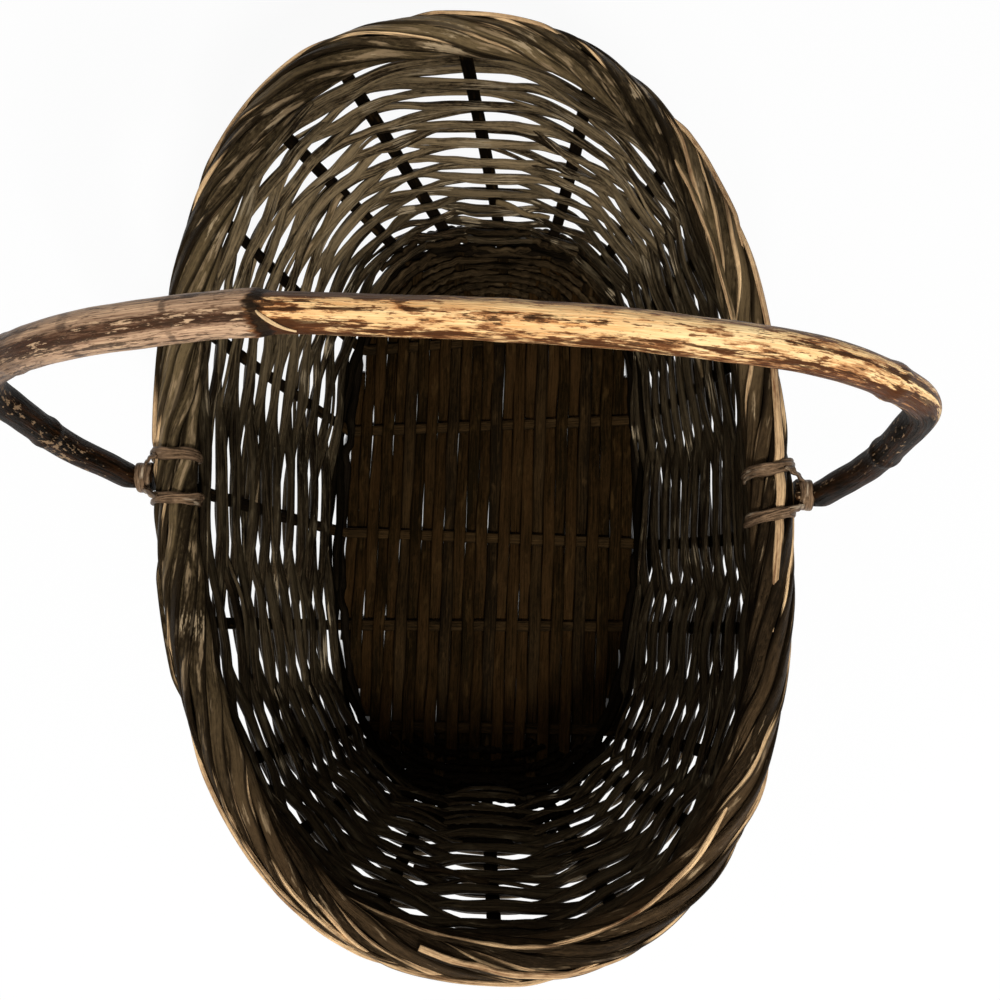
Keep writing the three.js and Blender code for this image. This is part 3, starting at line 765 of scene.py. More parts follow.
def row_level(row):
    """Level of a row of weavers, with the rows set closer near the floor."""
    mean_pitch = (WALL_HEIGHT - FIRST_ROW_RISE - TOP_ROW_DROP) / ROW_COUNT
    low_pitch = 2 * mean_pitch / (1 + ROW_PITCH_RATIO)
    growth = low_pitch * (ROW_PITCH_RATIO - 1) / ROW_COUNT
    return (FIRST_ROW_RISE + low_pitch * row + growth * row ** 2 / 2) / WALL_HEIGHT


# Floor slats
def cross_feet(i):
    """Left and right foot of a cross stake on the floor's edge."""
    left = CROSS_LEFT_FLOOR_SHARES[i] * FLOOR_HALF_LENGTH
    right = CROSS_RIGHT_FLOOR_SHARES[i] * FLOOR_HALF_LENGTH
    left_reach, right_reach = (oval_reach(y, FLOOR_HALF_LENGTH, FLOOR_HALF_WIDTH, FLOOR_EXPONENT)
                               for y in (left, right))
    return (-left_reach, left), (right_reach, right)


def slat_run(slat, near_end, far_end, end_swing, seed):
    """Centreline of a slat over one cross stake and under the next, from near to far."""
    x = slat_x(slat)
    foot_room = abs(x) + SLAT_WIDTH / 2 + STAKE_THICKNESS / 2 + CLEARANCE
    reach = (STAKE_WIDTH + STAKE_THICKNESS) / 2
    places, swings = [near_end], [end_swing]
    for i in reversed(range(CROSS_COUNT)):
        left, right = cross_feet(i)
        y = left[1] + (right[1] - left[1]) * (x - left[0]) / (right[0] - left[0])
        foot = -left[0] if x < 0 else right[0]
        crosses = y - reach > near_end and y + reach < far_end and foot > foot_room
        swing = SLAT_SWING if crosses and (slat + i) % 2 == 0 else -SLAT_SWING
        for edge in (y - reach, y + reach):
            if near_end + CLEARANCE < edge < far_end - CLEARANCE:
                places.append(edge)
                swings.append(swing)
    places.append(far_end)
    swings.append(end_swing)
    y = np.linspace(near_end, far_end, int((far_end - near_end) / SLAT_SAMPLE_LENGTH))
    wander = 0.3 * ripple((y - near_end) / (far_end - near_end), 1, 6, seed)
    return np.stack([x + wander, y, CROSS_STAKE_HEIGHT + stepped(places, swings, y)], axis=1)


def make_slats(material):
    """The slats between the long stakes, each as long as the floor is there."""
    for slat in range(SLAT_COUNT):
        if slat in LONG_SLATS:
            continue
        reach = oval_reach(abs(slat_x(slat)) + SLAT_WIDTH / 2, FLOOR_HALF_WIDTH + SLAT_OVERHANG,
                           FLOOR_HALF_LENGTH + SLAT_OVERHANG, FLOOR_EXPONENT)
        centre = slat_run(slat, -reach, reach, -SLAT_SWING, 100 + slat)
        share = np.linspace(0, 1, len(centre))
        width = SLAT_WIDTH * (0.98 + 0.03 * ripple(share, 1, 12, 200 + slat))
        strand = Strands().add(centre, UP, width, SLAT_THICKNESS, (12, 4.5), 300 + slat,
                               roll=0.05 * ripple(share, 1, 7, 400 + slat))
        node = f"floor_slat_{slat + 1:02d}"
        strand.piece("woven_" + node, material, "slat", node)


# Stakes
def upright_path(step):
    """One upright from its foot to the rim, and its outward directions."""
    level = np.linspace(0, 1, UPRIGHT_SAMPLES) ** UPRIGHT_SAMPLE_EXPONENT
    steps = np.full(level.shape, float(step))
    return wall_place(steps, level), wall_face(steps, level)


def make_stake(node, first, second, floor, width, thickness, unevenness, seeds, material):
    """A stake that climbs one upright backwards, crosses the floor and climbs another."""
    first_path, first_face = upright_path(first)
    second_path, second_face = upright_path(second)
    down = np.broadcast_to(-UP, floor.shape)
    path = soften(np.concatenate([first_path[::-1], floor, second_path]), 3)
    face = unit(soften(np.concatenate([first_face[::-1], down, second_face]), 6))
    share = np.linspace(0, 1, len(path))
    width = width * (1 + unevenness * ripple(share, 2, 14, seeds[0]))
    strand = Strands().add(path, face, width, thickness, (12, 4), seeds[1])
    strand.piece("woven_" + node, material, "stake", node)


def make_stakes(material):
    """Stakes one to five of the right side run from near to far, those of the far end from right
    to left, those of the left side from far to near and those of the near end from left to
    right."""
    for i in range(CROSS_COUNT):
        left_foot, right_foot = (np.array([*foot, CROSS_STAKE_HEIGHT]) for foot in cross_feet(i))
        share = np.linspace(0.012, 0.988, CROSS_FLOOR_SAMPLES)[:, None]
        floor = left_foot + (right_foot - left_foot) * share
        make_stake(f"cross_stake_{i + 1}", 2 * CROSS_COUNT + i, CROSS_COUNT - 1 - i, floor,
                   STAKE_WIDTH, STAKE_THICKNESS, 0.08, (520 + i, 540 + i), material)
    for i, slat in enumerate(LONG_SLATS):
        foot = oval_reach(slat_x(slat), FLOOR_HALF_WIDTH, FLOOR_HALF_LENGTH, FLOOR_EXPONENT)
        foot = foot - LONG_FOOT_INSET
        make_stake(f"long_stake_{i + 1}", 3 * CROSS_COUNT + i, 2 * CROSS_COUNT - 1 - i,
                   slat_run(slat, -foot, foot, 0, 560 + i), SLAT_WIDTH, SLAT_THICKNESS, 0.03,
                   (580 + i, 590 + i), material)


# Weavers
def make_weavers(material):
    """Each cane winds round the wall, in front of one upright and behind the next: its distance
    from the wall is a cosine of the steps that it has passed. A splint that has come off it runs
    along beside it."""
    half_round = UPRIGHT_COUNT / 2
    for course in range(COURSE_COUNT):
        for number, letter in enumerate("ab"):
            seed = 1000 + 20 * course + 10 * number
            first = course * STEPS_PER_WEAVER + number
            share = np.linspace(0, 1, STEPS_PER_WEAVER * SAMPLES_PER_STEP + 1)
            step = first + STEPS_PER_WEAVER * share
            level = row_level(2 * step / UPRIGHT_COUNT + number)
            width = WEAVER_LOW_WIDTH + (WEAVER_HIGH_WIDTH - WEAVER_LOW_WIDTH) * level
            wander = ripple(share, 8, 36, seed) + 0.22 * ripple(share, 40, 90, seed + 5)
            level = level + (0.5 + 0.9 * level) * wander / WALL_HEIGHT
            swing = (WEAVER_SWING * np.cos(math.pi * (step - first))
                     * (1 + 0.14 * ripple(share, 3, 20, seed + 1)))
            from_far_end = (step - FAR_END_STEP + half_round) % UPRIGHT_COUNT - half_round
            at_far_end = bell(from_far_end, FAR_END_REACH)
            beside = (width / 2 + 0.2) * ripple(share, 6, 16, seed + 8) * 1.4 / WALL_HEIGHT
            width = width * (0.98 + 0.13 * ripple(share, 4, 30, seed + 2) - 0.2 * at_far_end)
            thickness = WEAVER_THICKNESS * (0.95 + 0.13 * ripple(share, 5, 40, seed + 3)
                                            - 0.12 * at_far_end)
            # More bare wood towards the far end: partly wear, partly painted light on the far end's
            # lit wall
            wear = smooth_step(ripple(share, 6, 50, seed + 7) - 0.4 + 0.5 * at_far_end)
            strands = Strands().add(*off_wall(step, level, swing), width, thickness, (12, 2.9),
                                    seed, roll=0.26 * ripple(share, 4, 40, seed + 4),
                                    wear=0.7 * wear)
            inner = swing - 0.9 - 0.4 * ripple(share, 10, 40, seed + 9)
            strands.add(*off_wall(step, np.clip(level + beside, 0.01, 0.97), inner),
                        SPLINT_WIDTH * (1 + 0.35 * ripple(share, 9, 60, seed + 3)),
                        SPLINT_THICKNESS, (8, 2.2), seed + 1, wear=0.8 * wear)
            node = f"weaver_{course + 1}{letter}"
            strands.piece("woven_" + node, material, "weaver", node)


def make_foot_rows(material):
    """Rows of cane that close the corner between floor and wall all the way round."""
    strands = Strands()
    share = np.arange(FOOT_ROW_SAMPLES) / FOOT_ROW_SAMPLES
    step = UPRIGHT_COUNT * share
    for number, height in enumerate(FOOT_LEVELS):
        seed = 1300 + 10 * number
        level = np.clip(height + ROW_WANDER / WALL_HEIGHT * ripple(share, 10, 50, seed), 0, 1)
        side = (1 + number) % 2 * 2 - 1
        centre, face = off_wall(step, level, side * FOOT_ROW_SWING * np.cos(math.pi * step) + 0.3)
        centre[:, 2] = np.maximum(centre[:, 2], FOOT_ROW_LOW)
        strands.add(centre, face, FOOT_ROW_WIDTH * (1 + 0.12 * ripple(share, 9, 70, seed + 1)),
                    FOOT_ROW_THICKNESS, (10, 2.5), seed, closed=True,
                    roll=0.3 * ripple(share, 9, 50, seed + 2))
    strands.piece("foot_rows", material, "weaver")


def make_top_rows(material):
    """The two weavers that go on where the last course ends, round to where its rows reach the
    rim, and one more row close under the rim, open for a stretch at the far end. Each is a cosine
    of the steps it has passed away from the wall, and both its ends are tucked in. A run gives its
    first and last step, its first and last level, its phase and its width."""
    last = COURSE_COUNT * STEPS_PER_WEAVER
    top = row_level(ROW_COUNT)
    runs = ((last + 1, last + 1 + UPRIGHT_COUNT, top, top + 0.012, 1, 5.0),
            (last, last + UPRIGHT_COUNT // 2, row_level(ROW_COUNT - 1),
             row_level(ROW_COUNT - 0.3), 0, 4.6),
            (TOP_GAP_STEPS[1], UPRIGHT_COUNT + TOP_GAP_STEPS[0], TOP_LEVEL, TOP_LEVEL, 0, 5.2))
    strands = Strands()
    for number, (first, end, start_level, end_level, phase, width) in enumerate(runs):
        seed = 1390 + 10 * number
        share = np.linspace(0, 1, int(ROW_SAMPLES_PER_STEP * (end - first)))
        step = first + (end - first) * share
        level = (start_level + (end_level - start_level) * share
                 + ROW_WANDER / WALL_HEIGHT * ripple(share, 5, 30, seed))
        tucked = tucked_ends(share, 0.03)
        swing = TOP_ROW_SWING * np.cos(math.pi * (step + phase)) * tucked
        width = width * (1 + 0.12 * ripple(share, 5, 40, seed + 1)) * (0.5 + 0.5 * tucked)
        strands.add(*off_wall(step, level, swing), width, TOP_ROW_THICKNESS, (12, 2.8), seed + 2,
                    roll=0.25 * ripple(share, 5, 30, seed + 3),
                    wear=0.5 * smooth_step(ripple(share, 4, 20, seed + 4)))
    strands.piece("top_rows", material, "weaver")


def make_packing(name, sign, rows, end, material):
    """Arcs of cane on one end of the floor, each an oval's end drawn in by one pitch from the
    last. They pass over one long stake and between the next and the slats."""
    strands = Strands()
    stake_pitch = SLAT_PITCH * SLATS_PER_LONG_STAKE
    for row in range(rows):
        seed = 1400 + 40 * rows + 10 * row
        inset = PACKING_INSET + PACKING_PITCH * row
        half_length = FLOOR_HALF_LENGTH - inset
        half_width = FLOOR_HALF_WIDTH - 0.9 * inset
        exponent = FLOOR_EXPONENT - 0.09 * row
        lowest = math.asin(min(end / half_length, 1) ** (exponent / 2))
        share = np.linspace(0, 1, PACKING_SAMPLES)
        angle = lowest + (math.pi - 2 * lowest) * share
        x = half_width * signed_power(np.cos(angle), 2 / exponent)
        y = sign * half_length * np.sin(angle) ** (2 / exponent)
        phase = (x - slat_x(OUTER_SLAT_COUNT)) / stake_pitch + row
        tucked = tucked_ends(share, 0.06)
        z = (PACKING_LOW + tucked * (PACKING_RISE + PACKING_SWING * np.cos(math.pi * phase))
             + 0.25 * ripple(share, 4, 30, seed))
        centre = np.stack([x, y + 0.35 * ripple(share, 4, 30, seed + 1), z], axis=1)
        width = PACKING_WIDTH * (1 + 0.14 * ripple(share, 4, 40, seed + 2)) * (0.4 + 0.6 * tucked)
        strands.add(centre, UP, width, PACKING_THICKNESS, (10, 2.6), seed,
                    roll=0.3 * ripple(share, 3, 20, seed + 3))
    strands.piece(name, material, "weaver")


def make_filling(name, first, last, levels, material):
    """Rows of cane beaten down into the foot of the wall at one end, from one upright to another,
    in front where the weavers beside them are behind."""
    strands = Strands()
    for number, height in enumerate(levels):
        seed = 1700 + 100 * first + 10 * number
        share = np.linspace(0, 1, int((last - first) * ROW_SAMPLES_PER_STEP))
        margin = FILLING_MARGIN * number
        step = first + margin + (last - first - 2 * margin) * share
        level = height + ROW_WANDER / WALL_HEIGHT * ripple(share, 5, 30, seed)
        taper = 0.5 + 0.5 * tucked_ends(share, 0.05)
        swing = FILLING_SWING * np.cos(math.pi * (step + number)) * taper
        width = FILLING_WIDTH * (1 + 0.15 * ripple(share, 5, 40, seed + 1)) * taper
        strands.add(*off_wall(step, level, swing), width, FILLING_THICKNESS, (10, 2.6), seed,
                    roll=0.3 * ripple(share, 4, 30, seed + 2))
    strands.piece(name, material, "weaver")


# Rim
def rim_line(share):
    """Centreline of the rim, even in length: x and y are signed powers of the cosine and sine of
    an angle, looked up by arc length. Returns places and outward directions."""
    angle = np.linspace(0, TURN, 4001)
    y = RIM_HALF_LENGTH * signed_power(np.sin(angle), 2 / RIM_EXPONENT)
    x = RIM_HALF_WIDTH * signed_power(np.cos(angle), 2 / RIM_EXPONENT) - RIM_SKEW_SHARE * y
    line = np.stack([x, y, np.full(angle.shape, float(RIM_HEIGHT))], axis=1)
    lengths = run_lengths(line)
    wanted = (share % 1) * lengths[-1]
    place = np.stack([np.interp(wanted, lengths, line[:, axis]) for axis in range(3)], axis=1)
    x, y = place[:, 0] + RIM_SKEW_SHARE * place[:, 1], place[:, 1]
    out_x = signed_power(x / RIM_HALF_WIDTH, RIM_EXPONENT - 1) / RIM_HALF_WIDTH
    out_y = (signed_power(y / RIM_HALF_LENGTH, RIM_EXPONENT - 1) / RIM_HALF_LENGTH
             + RIM_SKEW_SHARE * out_x)
    return place, unit(np.stack([out_x, out_y, np.zeros(len(place))], axis=1))


def rim_wear(share, outwardness, seed):
    """How bare a cane of the rim is: bells round the named places, where it lies outward."""
    chance = 1.3 * np.random.default_rng(seed).uniform(size=len(RIM_BARE_PLACES)) ** 2.2
    wear = np.zeros(share.shape)
    for (place, reach, amount), luck in zip(RIM_BARE_PLACES, chance):
        wear = wear + amount * luck * bell((share - place + 0.5) % 1 - 0.5, reach)
    return np.clip(wear, 0, 1) * smooth_step(0.55 + 0.75 * outwardness)


def make_rim(core_material, cane_material):
    """A hoop, and canes that wind round it in a long twist: the cane's angle about the hoop falls
    evenly with the way round. A thin split lies in the groove beside each cane."""
    share = np.arange(RIM_SAMPLES) / RIM_SAMPLES
    place, outward = rim_line(share)
    hoop = Strands().add(place, outward, 2 * RIM_CORE_RADIUS, 2 * RIM_CORE_RADIUS, (16, 2), 700,
                         closed=True)
    hoop.piece("rim_hoop", core_material, "rim_core", "rim_core")
    for cane in range(RIM_CANE_COUNT):
        seed = 720 + 10 * cane
        strands = Strands()
        for part, lag in enumerate((0.0, 0.5)):
            angle = (TURN * (cane + lag) / RIM_CANE_COUNT - TURN * RIM_TWIST_TURNS * share
                     + 0.1 * ripple(share, 2, 30, seed + part))
            radial = outward * np.cos(angle)[:, None] + UP * np.sin(angle)[:, None]
            wear = rim_wear(share, np.cos(angle - 0.6), seed + part)
            if part == 0:
                distance = (RIM_CORE_RADIUS + RIM_CANE_BEDDING + RIM_CANE_THICKNESS / 2
                            + 0.35 * ripple(share, 3, 40, seed + 2))
                strands.add(place + radial * distance[:, None], radial,
                            RIM_CANE_WIDTH * (1.08 + 0.2 * ripple(share, 3, 22, seed + 3)),
                            0.94 * RIM_CANE_THICKNESS, (14, 2.7), seed, closed=True,
                            roll=0.3 + 0.16 * ripple(share, 2, 20, seed + 4), wear=0.55 * wear)
            else:
                distance = (RIM_CORE_RADIUS + SPLIT_BEDDING + SPLIT_LIFT * wear
                            + 0.35 * ripple(share, 3, 50, seed + 5))
                strands.add(place + radial * distance[:, None], radial,
                            (SPLIT_WIDTH + wear) * (1 + 0.25 * ripple(share, 9, 60, seed + 6)),
                            SPLIT_THICKNESS, (8, 2.4), seed + 7, closed=True, roll=0.5,
                            wear=0.75 * wear)
        node = f"rim_cane_{cane + 1}"
        strands.piece("laid_" + node, cane_material, "rim_cane", node)


def make_cut_ends(material):
    """Bare strips that lie along the rim's canes, dive under them at their ends unless cut there,
    and are pressed down under the lashings' bands; and on the wall, ends of cane that come over an
    upright and go in behind the row below."""
    strands = Strands()
    for number, (start, end, first_turn, last_turn, width, bareness, cut) in enumerate(RIM_STRIPS):
        seed = 640 + 3 * number
        share = np.linspace(0, 1, int(STRIP_SAMPLES * (end - start)))
        place, outward = rim_line(start + (end - start) * share)
        angle = np.radians(first_turn + (last_turn - first_turn) * share
                           + 1.6 * ripple(share, 1, 5, seed))[:, None]
        radial = outward * np.cos(angle) + UP * np.sin(angle)
        risen = smooth_step(np.minimum(share + cut, 1 - share) / STRIP_DIVE_SHARE)
        under_bands = sum(bell(place[:, 1] - HANDLE_Y - half * BAND_SPACING, BAND_WIDTH)
                          for half in (-0.5, 0.5))
        height = RIM_RADIUS + CLEARANCE - STRIP_DIVE * (1 - risen) - STRIP_PRESS * under_bands
        width = width * (0.55 + 0.45 * risen) * (1 + 0.15 * ripple(share, 2, 9, seed + 1))
        strands.add(place + radial * height[:, None], radial, width, STRIP_THICKNESS, (12, 2.8),
                    seed + 2, roll=0.2, wear=bareness * (0.8 + 0.2 * risen))
    for number, (step, level, drop, sign) in enumerate(WALL_ENDS):
        share = np.linspace(0, 1, 40)
        inward = 1.3 + 1.9 * np.sin(math.pi * np.clip(share + 0.25, 0, 1))
        strands.add(*off_wall(step + sign * (0.02 + WALL_END_STEPS * share),
                              level - drop * smooth_step(share / 0.6), -inward),
                    WALL_END_WIDTH * (1 - 0.45 * share), WALL_END_THICKNESS * (1 - 0.3 * share),
                    (12, 2.3), 690 + number, roll=0.3)
    strands.piece("cut_ends", material, "weaver")


# Handle
def bow_line():
    """The handle's centreline in the plane of its necks: a centripetal Catmull-Rom curve through
    its named points."""
    neck_out = HANDLE_END_X + HANDLE_HEAD_LENGTH + HANDLE_NECK_REACH
    half = [(HANDLE_END_X, 0), ((HANDLE_END_X + neck_out) / 2, 0), (neck_out, 0)]
    half += [(share * HANDLE_HALF_WIDTH, rise * HANDLE_RISE)
             for share, rise in zip(BOW_WIDTH_SHARES, BOW_RISE_SHARES)]
    knots = np.array(half + [(0, HANDLE_RISE)] + [(-x, z) for x, z in half[::-1]])
    ends = np.concatenate([[2 * knots[0] - knots[1]], knots, [2 * knots[-1] - knots[-2]]])
    curve = []
    for p0, p1, p2, p3 in zip(ends, ends[1:], ends[2:], ends[3:]):
        gaps = [math.sqrt(np.linalg.norm(b - a)) for a, b in ((p0, p1), (p1, p2), (p2, p3))]
        t1 = gaps[0]
        t2 = t1 + gaps[1]
        t3 = t2 + gaps[2]
        t = np.linspace(t1, t2, 60, endpoint=False)[:, None]
        a1 = p0 + (p1 - p0) * t / t1
        a2 = p1 + (p2 - p1) * (t - t1) / gaps[1]
        a3 = p2 + (p3 - p2) * (t - t2) / gaps[2]
        b1 = a1 + (a2 - a1) * t / t2
        b2 = a2 + (a3 - a2) * (t - t1) / (t3 - t1)
        curve.append(b1 + (b2 - b1) * (t - t1) / gaps[1])
    return np.concatenate(curve + [knots[-1:]])


BOW = bow_line()
BOW_LENGTHS = run_lengths(BOW)
HANDLE_LENGTH = BOW_LENGTHS[-1]


def handle_radius(along):
    """Girth between its named places, down to the shaved necks and out to the heads at both
    ends, with a swelling at each joint of the cane."""
    girth = HANDLE_RADIUS * stepped(HANDLE_GIRTH_PLACES, HANDLE_GIRTH_SHARES, along / HANDLE_LENGTH)
    for place in KNOT_PLACE_SHARES:
        girth = girth + KNOT_SWELL * bell(along - place * HANDLE_LENGTH, KNOT_LENGTH / 2)
    end = np.minimum(along, HANDLE_LENGTH - along)
    shaved = smooth_step((end - HANDLE_HEAD_LENGTH - HANDLE_NECK_LENGTH) / HANDLE_TAPER_LENGTH)
    radius = HANDLE_NECK_RADIUS + shaved * (girth - HANDLE_NECK_RADIUS)
    head = 1 - smooth_step((end - HANDLE_HEAD_LENGTH) / HANDLE_HEAD_EDGE + 0.5)
    return radius + head * (HANDLE_HEAD_RADIUS - HANDLE_NECK_RADIUS)


def handle_frame(along):
    """Centres, outward directions in the bow's plane, and radius at increasing distances along
    the handle, which is leant to the far end."""
    x, rise = (np.interp(along, BOW_LENGTHS, BOW[:, axis]) for axis in range(2))
    share = along / HANDLE_LENGTH
    end = np.minimum(along, HANDLE_LENGTH - along)
    clear_of_ends = smooth_step((end - STRAIGHT_END_LENGTH) / SWAY_TAPER_LENGTH)
    sway = (stepped(HANDLE_SWAY_PLACES, HANDLE_SWAYS, share)
            + 0.3 * clear_of_ends * ripple(share, 3, 9, 900))
    lean_sine, lean_cosine = math.sin(HANDLE_LEAN), math.cos(HANDLE_LEAN)
    centre = np.stack([HANDLE_X + x, HANDLE_Y + rise * lean_sine + sway * lean_cosine,
                       RIM_HEIGHT + rise * lean_cosine - sway * lean_sine], axis=1)
    tangent = np.gradient(np.stack([x, rise], axis=1), axis=0)
    outward = np.stack([tangent[:, 1], -tangent[:, 0] * lean_sine, -tangent[:, 0] * lean_cosine],
                       axis=1)
    radius = handle_radius(along) * (1 + 0.015 * clear_of_ends * ripple(share, 4, 40, 901))
    return centre, unit(outward), radius


def make_handle(material, splinter_material):
    """The handle's cane, with closer rings at its heads, and a splinter that has lifted beside the
    ring of its joint: it runs along the cane while its angle about it falls from the near side to
    the top."""
    at_end = np.linspace(0, 4, 18)
    along = np.unique(np.concatenate([np.linspace(0, HANDLE_LENGTH, HANDLE_SAMPLES), at_end,
                                      HANDLE_LENGTH - at_end]))
    centre, outward, radius = handle_frame(along)
    cane = Strands().add(centre, outward, 2 * radius, 2 * radius, (32, 2), 0)
    cane.piece("handle_cane", material, "handle", "handle")
    share = np.linspace(1, 0, 40)
    centre, outward, radius = handle_frame(
        HANDLE_LENGTH * (RING_PLACE - SPLINTER_GAP_SHARE - SPLINTER_LENGTH_SHARE * share))
    side = unit(np.cross(outward, np.gradient(centre, axis=0)))
    angle = (SPLINTER_TOP_ANGLE + SPLINTER_TURN * share ** 0.8)[:, None]
    radial = outward * np.cos(angle) + side * np.sin(angle)
    lifted = radius + 0.2 + 0.5 * np.sin(math.pi * share)
    width = 0.44 + 0.68 * np.sin(math.pi * share ** 0.7)
    splinter = Strands().add(centre + radial * lifted[:, None], radial, width, SPLINTER_THICKNESS,
                             (8, 2), 905)
    splinter.piece("handle_splinter", splinter_material, "handle")


# Lashings
def make_lashing(name, sign, slant, material):
    """Two flat bands round the rim, each a circle leant along the rim with a narrower turn across
    it, turns round the handle's neck, and the strips that run from the bands to it on a low
    arch."""
    flat = (12, 3.6)
    strands = Strands()
    turn = np.linspace(0, 1, 96, endpoint=False)
    angle = TURN * turn
    eye_x = HANDLE_X + sign * (HANDLE_END_X + HANDLE_HEAD_LENGTH + CLEARANCE + EYE_LENGTH / 2)
    around_rim = np.stack([np.cos(angle), np.zeros(angle.shape), np.sin(angle)], axis=1)
    around_neck = np.stack([np.zeros(angle.shape), np.cos(angle), np.sin(angle)], axis=1)
    for end in (-1, 1):
        y = HANDLE_Y + end * BAND_SPACING / 2
        rim_x = (sign * oval_reach(y, RIM_HALF_LENGTH, RIM_HALF_WIDTH, RIM_EXPONENT)
                 - RIM_SKEW_SHARE * y)
        for number, (width, lift, across) in enumerate(BAND_TURNS):
            seed = 950 + 10 * number + 2 * end
            radius = RIM_RADIUS + lift + 0.22 * ripple(turn, 1, 5, seed)
            centre = np.array([rim_x, y, RIM_HEIGHT]) + around_rim * radius[:, None]
            centre[:, 1] += (slant * np.cos(angle) + across * np.cos(angle - 1.0 - end)
                             + 0.35 * ripple(turn, 1, 4, seed + 1))
            strands.add(centre, around_rim, width * (1 + 0.14 * ripple(turn, 1, 9, seed + 20)),
                        BAND_THICKNESS, flat, seed + 5, closed=True,
                        roll=0.12 * ripple(turn, 1, 5, seed + 30))
        share = np.linspace(0, 1, 30)
        start = np.array([rim_x + sign * 0.62 * RIM_RADIUS, y + 0.5 * slant * sign,
                          RIM_HEIGHT + 0.82 * RIM_RADIUS + 1])
        stop = np.array([eye_x, HANDLE_Y + end * (HANDLE_NECK_RADIUS + 0.4), RIM_HEIGHT + 1.6])
        centre = start + (stop - start) * share[:, None]
        centre = centre + UP * ARCH_RISE * np.sin(math.pi * share)[:, None]
        strands.add(centre, unit(np.array([sign * 0.7, end * 0.7, 0.9])), ARCH_WIDTH - share,
                    ARCH_THICKNESS, flat, 995 + end, roll=0.3 * ripple(share, 1, 3, 996 + end))
    for number in range(EYE_TURN_COUNT):
        radius = HANDLE_NECK_RADIUS + 0.45 * EYE_WALL + 0.25 * ripple(turn, 1, 4, 990 + number)
        centre = np.array([eye_x, HANDLE_Y, RIM_HEIGHT]) + around_neck * radius[:, None]
        centre[:, 0] += (sign * (number - 1) * EYE_TURN_PITCH
                         + (0.7 - 0.5 * number) * np.sin(angle + number))
        strands.add(centre, around_neck,
                    EYE_TURN_WIDTH * (1 + 0.12 * ripple(turn, 1, 6, 975 + number)),
                    0.76 * EYE_WALL, flat, 980 + number, closed=True)
    strands.piece("wound_" + name, material, "lashing", name)


# Floor, light and camera
def make_stage():
    """A white floor. Only under the basket's own floor, which lies on it, does it show its shade:
    where |x/a|^n + |y/b|^n is under about 1."""
    finish = Finish(bpy.data.materials.new("white floor"))
    finish.set(Base_Color=color(240, 240, 240), Roughness=0.9, Specular_IOR_Level=0.1)
    path = finish.node("LightPath", output="Is Camera Ray")
    for output in ("Is Glossy Ray", "Is Transmission Ray"):
        path = finish.math("MAXIMUM", path, finish.node("LightPath", output=output))
    ground = finish.node("TexCoord", output="Object")
    reach = sum((finish.size(finish.part(ground, axis)) * (1 / ((half + SHADE_MARGIN) * MM)))
                ** FLOOR_EXPONENT
                for axis, half in enumerate((FLOOR_HALF_WIDTH, FLOOR_HALF_LENGTH)))
    glow = finish.node("Emission", {"Color": (1, 1, 1, 1), "Strength": 1.0})
    shown = finish.node("MixShader", {0: path * finish.between(reach, 0.9, 1.05) * FLOOR_GLOW,
                                      1: Socket(finish, finish.shader.outputs["BSDF"]), 2: glow})
    finish.feed(finish.tree.nodes["Material Output"].inputs["Surface"], shown)
    mesh = bpy.data.meshes.new("floor_plane")
    corners = np.array([(-1, -1, 0), (1, -1, 0), (1, 1, 0), (-1, 1, 0)]) * FLOOR_PLANE_HALF
    mesh.from_pydata((corners - UP * FLOOR_PLANE_DROP) * MM, [], [(0, 1, 2, 3)])
    mesh.materials.append(finish.owner)
    put("floor_plane", mesh)


def make_world():
    """Even white light, and a brighter white where the camera sees past the floor."""
    world = bpy.data.worlds.new("studio")
    bpy.context.scene.world = world
    sky = Finish(world, "Background")
    seen = sky.node("LightPath", output="Is Camera Ray")
    strength = sky.node("MapRange", {"Value": seen, "To Min": WORLD_STRENGTH, "To Max": FLOOR_GLOW})
    sky.set(Color=(1, 1, 1, 1), Strength=strength)


def make_lamp(name, place, size, power):
    """A round lamp that is turned to the basket's middle."""
    lamp = bpy.data.lights.new(name, "AREA")
    lamp.shape, lamp.size, lamp.energy = "DISK", size, power
    holder = put(name, lamp)
    holder.location = place
    aim = Vector(LAMP_AIM) - Vector(place)
    holder.rotation_euler = aim.to_track_quat("-Z", "Y").to_euler()


def make_camera():
    """The photograph's camera."""
    data = bpy.data.cameras.new("photo camera")
    data.sensor_fit = "HORIZONTAL"
    data.sensor_width = SENSOR_WIDTH
    data.lens = SENSOR_WIDTH * FOCAL_PIXELS / FRAME_PIXELS
    data.clip_start = 0.01
    turn = Vector([math.radians(value) for value in CAMERA_TURN_DEGREES])
    camera = put("photo camera", data)
    camera.matrix_world = (Matrix.Translation(Vector(CAMERA_PLACE) * MM)
                           @ Matrix.Rotation(turn.length, 4, turn.normalized()))
    bpy.context.scene.camera = camera


make_camera()
make_stage()
make_world()
for lamp in LAMPS:
    make_lamp(*lamp)

# Each kind of cane: its width, its dark, light and dusty colour, its roughness, shine and chips
slat_finish = cane_finish("floor slat", SLAT_WIDTH, (11, 7, 2), (46, 30, 13), (62, 45, 23), 0.6,
                          0.06)
# The stake's last pair of colours is painted shade on the wall, above the floor
stake_finish = cane_finish("stake", STAKE_WIDTH, (12, 8, 4), (48, 34, 17), (62, 46, 26), 0.6, 0.06,
                           wall_painted_shade=((4, 3, 2), (19, 14, 9)))
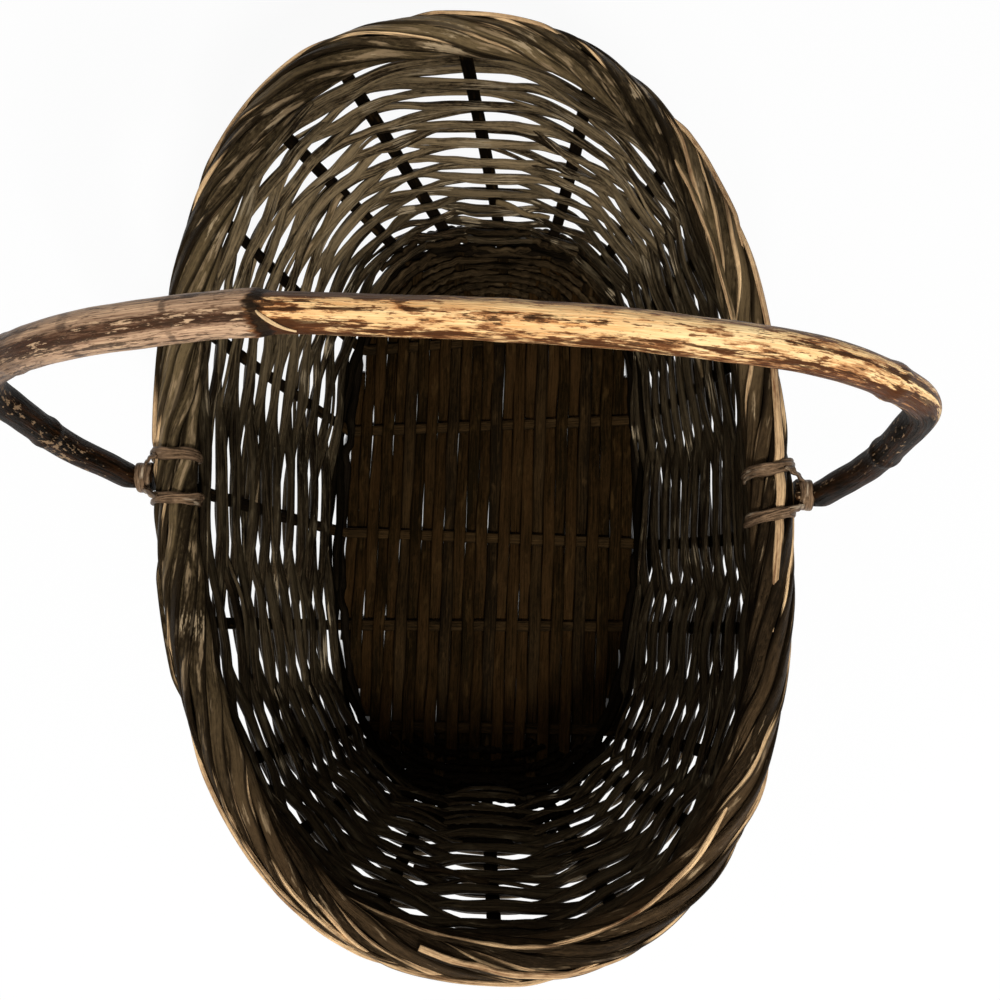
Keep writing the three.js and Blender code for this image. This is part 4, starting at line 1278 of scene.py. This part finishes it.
# The weaver's last pair of colours is painted light, high on the far end's wall
weaver_finish = cane_finish("weaver", WEAVER_HIGH_WIDTH, (8, 6, 4), (60, 51, 36), (104, 92, 70),
                            0.38, 0.22, 0.35, wood=((104, 90, 68), (184, 166, 136)),
                            far_wall_painted_light=((18, 13, 8), (126, 108, 80)))
# A lighter and a darker copy of one packing cane: lighter at the far end, painted light, and near
# black at the near end and in the corner rows round the floor, painted shade
packing_painted_light_finish = cane_finish("packing painted light", PACKING_WIDTH, (9, 7, 4), (54, 42, 26),
                                 (84, 68, 46), 0.5, 0.12)
packing_painted_shade_finish = cane_finish("packing painted shade", PACKING_WIDTH, (2, 2, 1), (16, 12, 8),
                                  (26, 21, 14), 0.55, 0.05)
core_finish = cane_finish("rim core", 2 * RIM_CORE_RADIUS, (6, 5, 3), (18, 14, 10), (26, 21, 15),
                          0.7, 0.08)
wood_finish = cane_finish("bare wood", 3, (126, 92, 60), (236, 202, 152), (200, 170, 128), 0.5)
lashing_finish = cane_finish("lashing", BAND_WIDTH + 1, (34, 24, 16), (146, 117, 90),
                             (236, 214, 182), 0.4, 0.3, 0.8)

make_slats(slat_finish)
make_stakes(stake_finish)
make_weavers(weaver_finish)
make_top_rows(weaver_finish)
# The foot rows take the near-black copy: painted shade in the corner between floor and wall
make_foot_rows(packing_painted_shade_finish)
make_packing("packing_far", 1, FAR_PACKING_ROWS, FAR_PACKING_END, packing_painted_light_finish)
make_packing("packing_near", -1, NEAR_PACKING_ROWS, NEAR_PACKING_END, packing_painted_shade_finish)
make_filling("filling_far", 4, 10, FAR_FILLING_LEVELS, packing_painted_light_finish)
make_filling("filling_near", 14, 20, NEAR_FILLING_LEVELS, packing_painted_shade_finish)
bare_finish = rim_finish()
make_rim(core_finish, bare_finish)
make_cut_ends(bare_finish)
make_handle(handle_finish(), wood_finish)
make_lashing("left_lashing", -1, LEFT_BAND_SLANT, lashing_finish)
make_lashing("right_lashing", 1, RIGHT_BAND_SLANT, lashing_finish)

bpy.context.scene.view_settings.view_transform = "Standard"
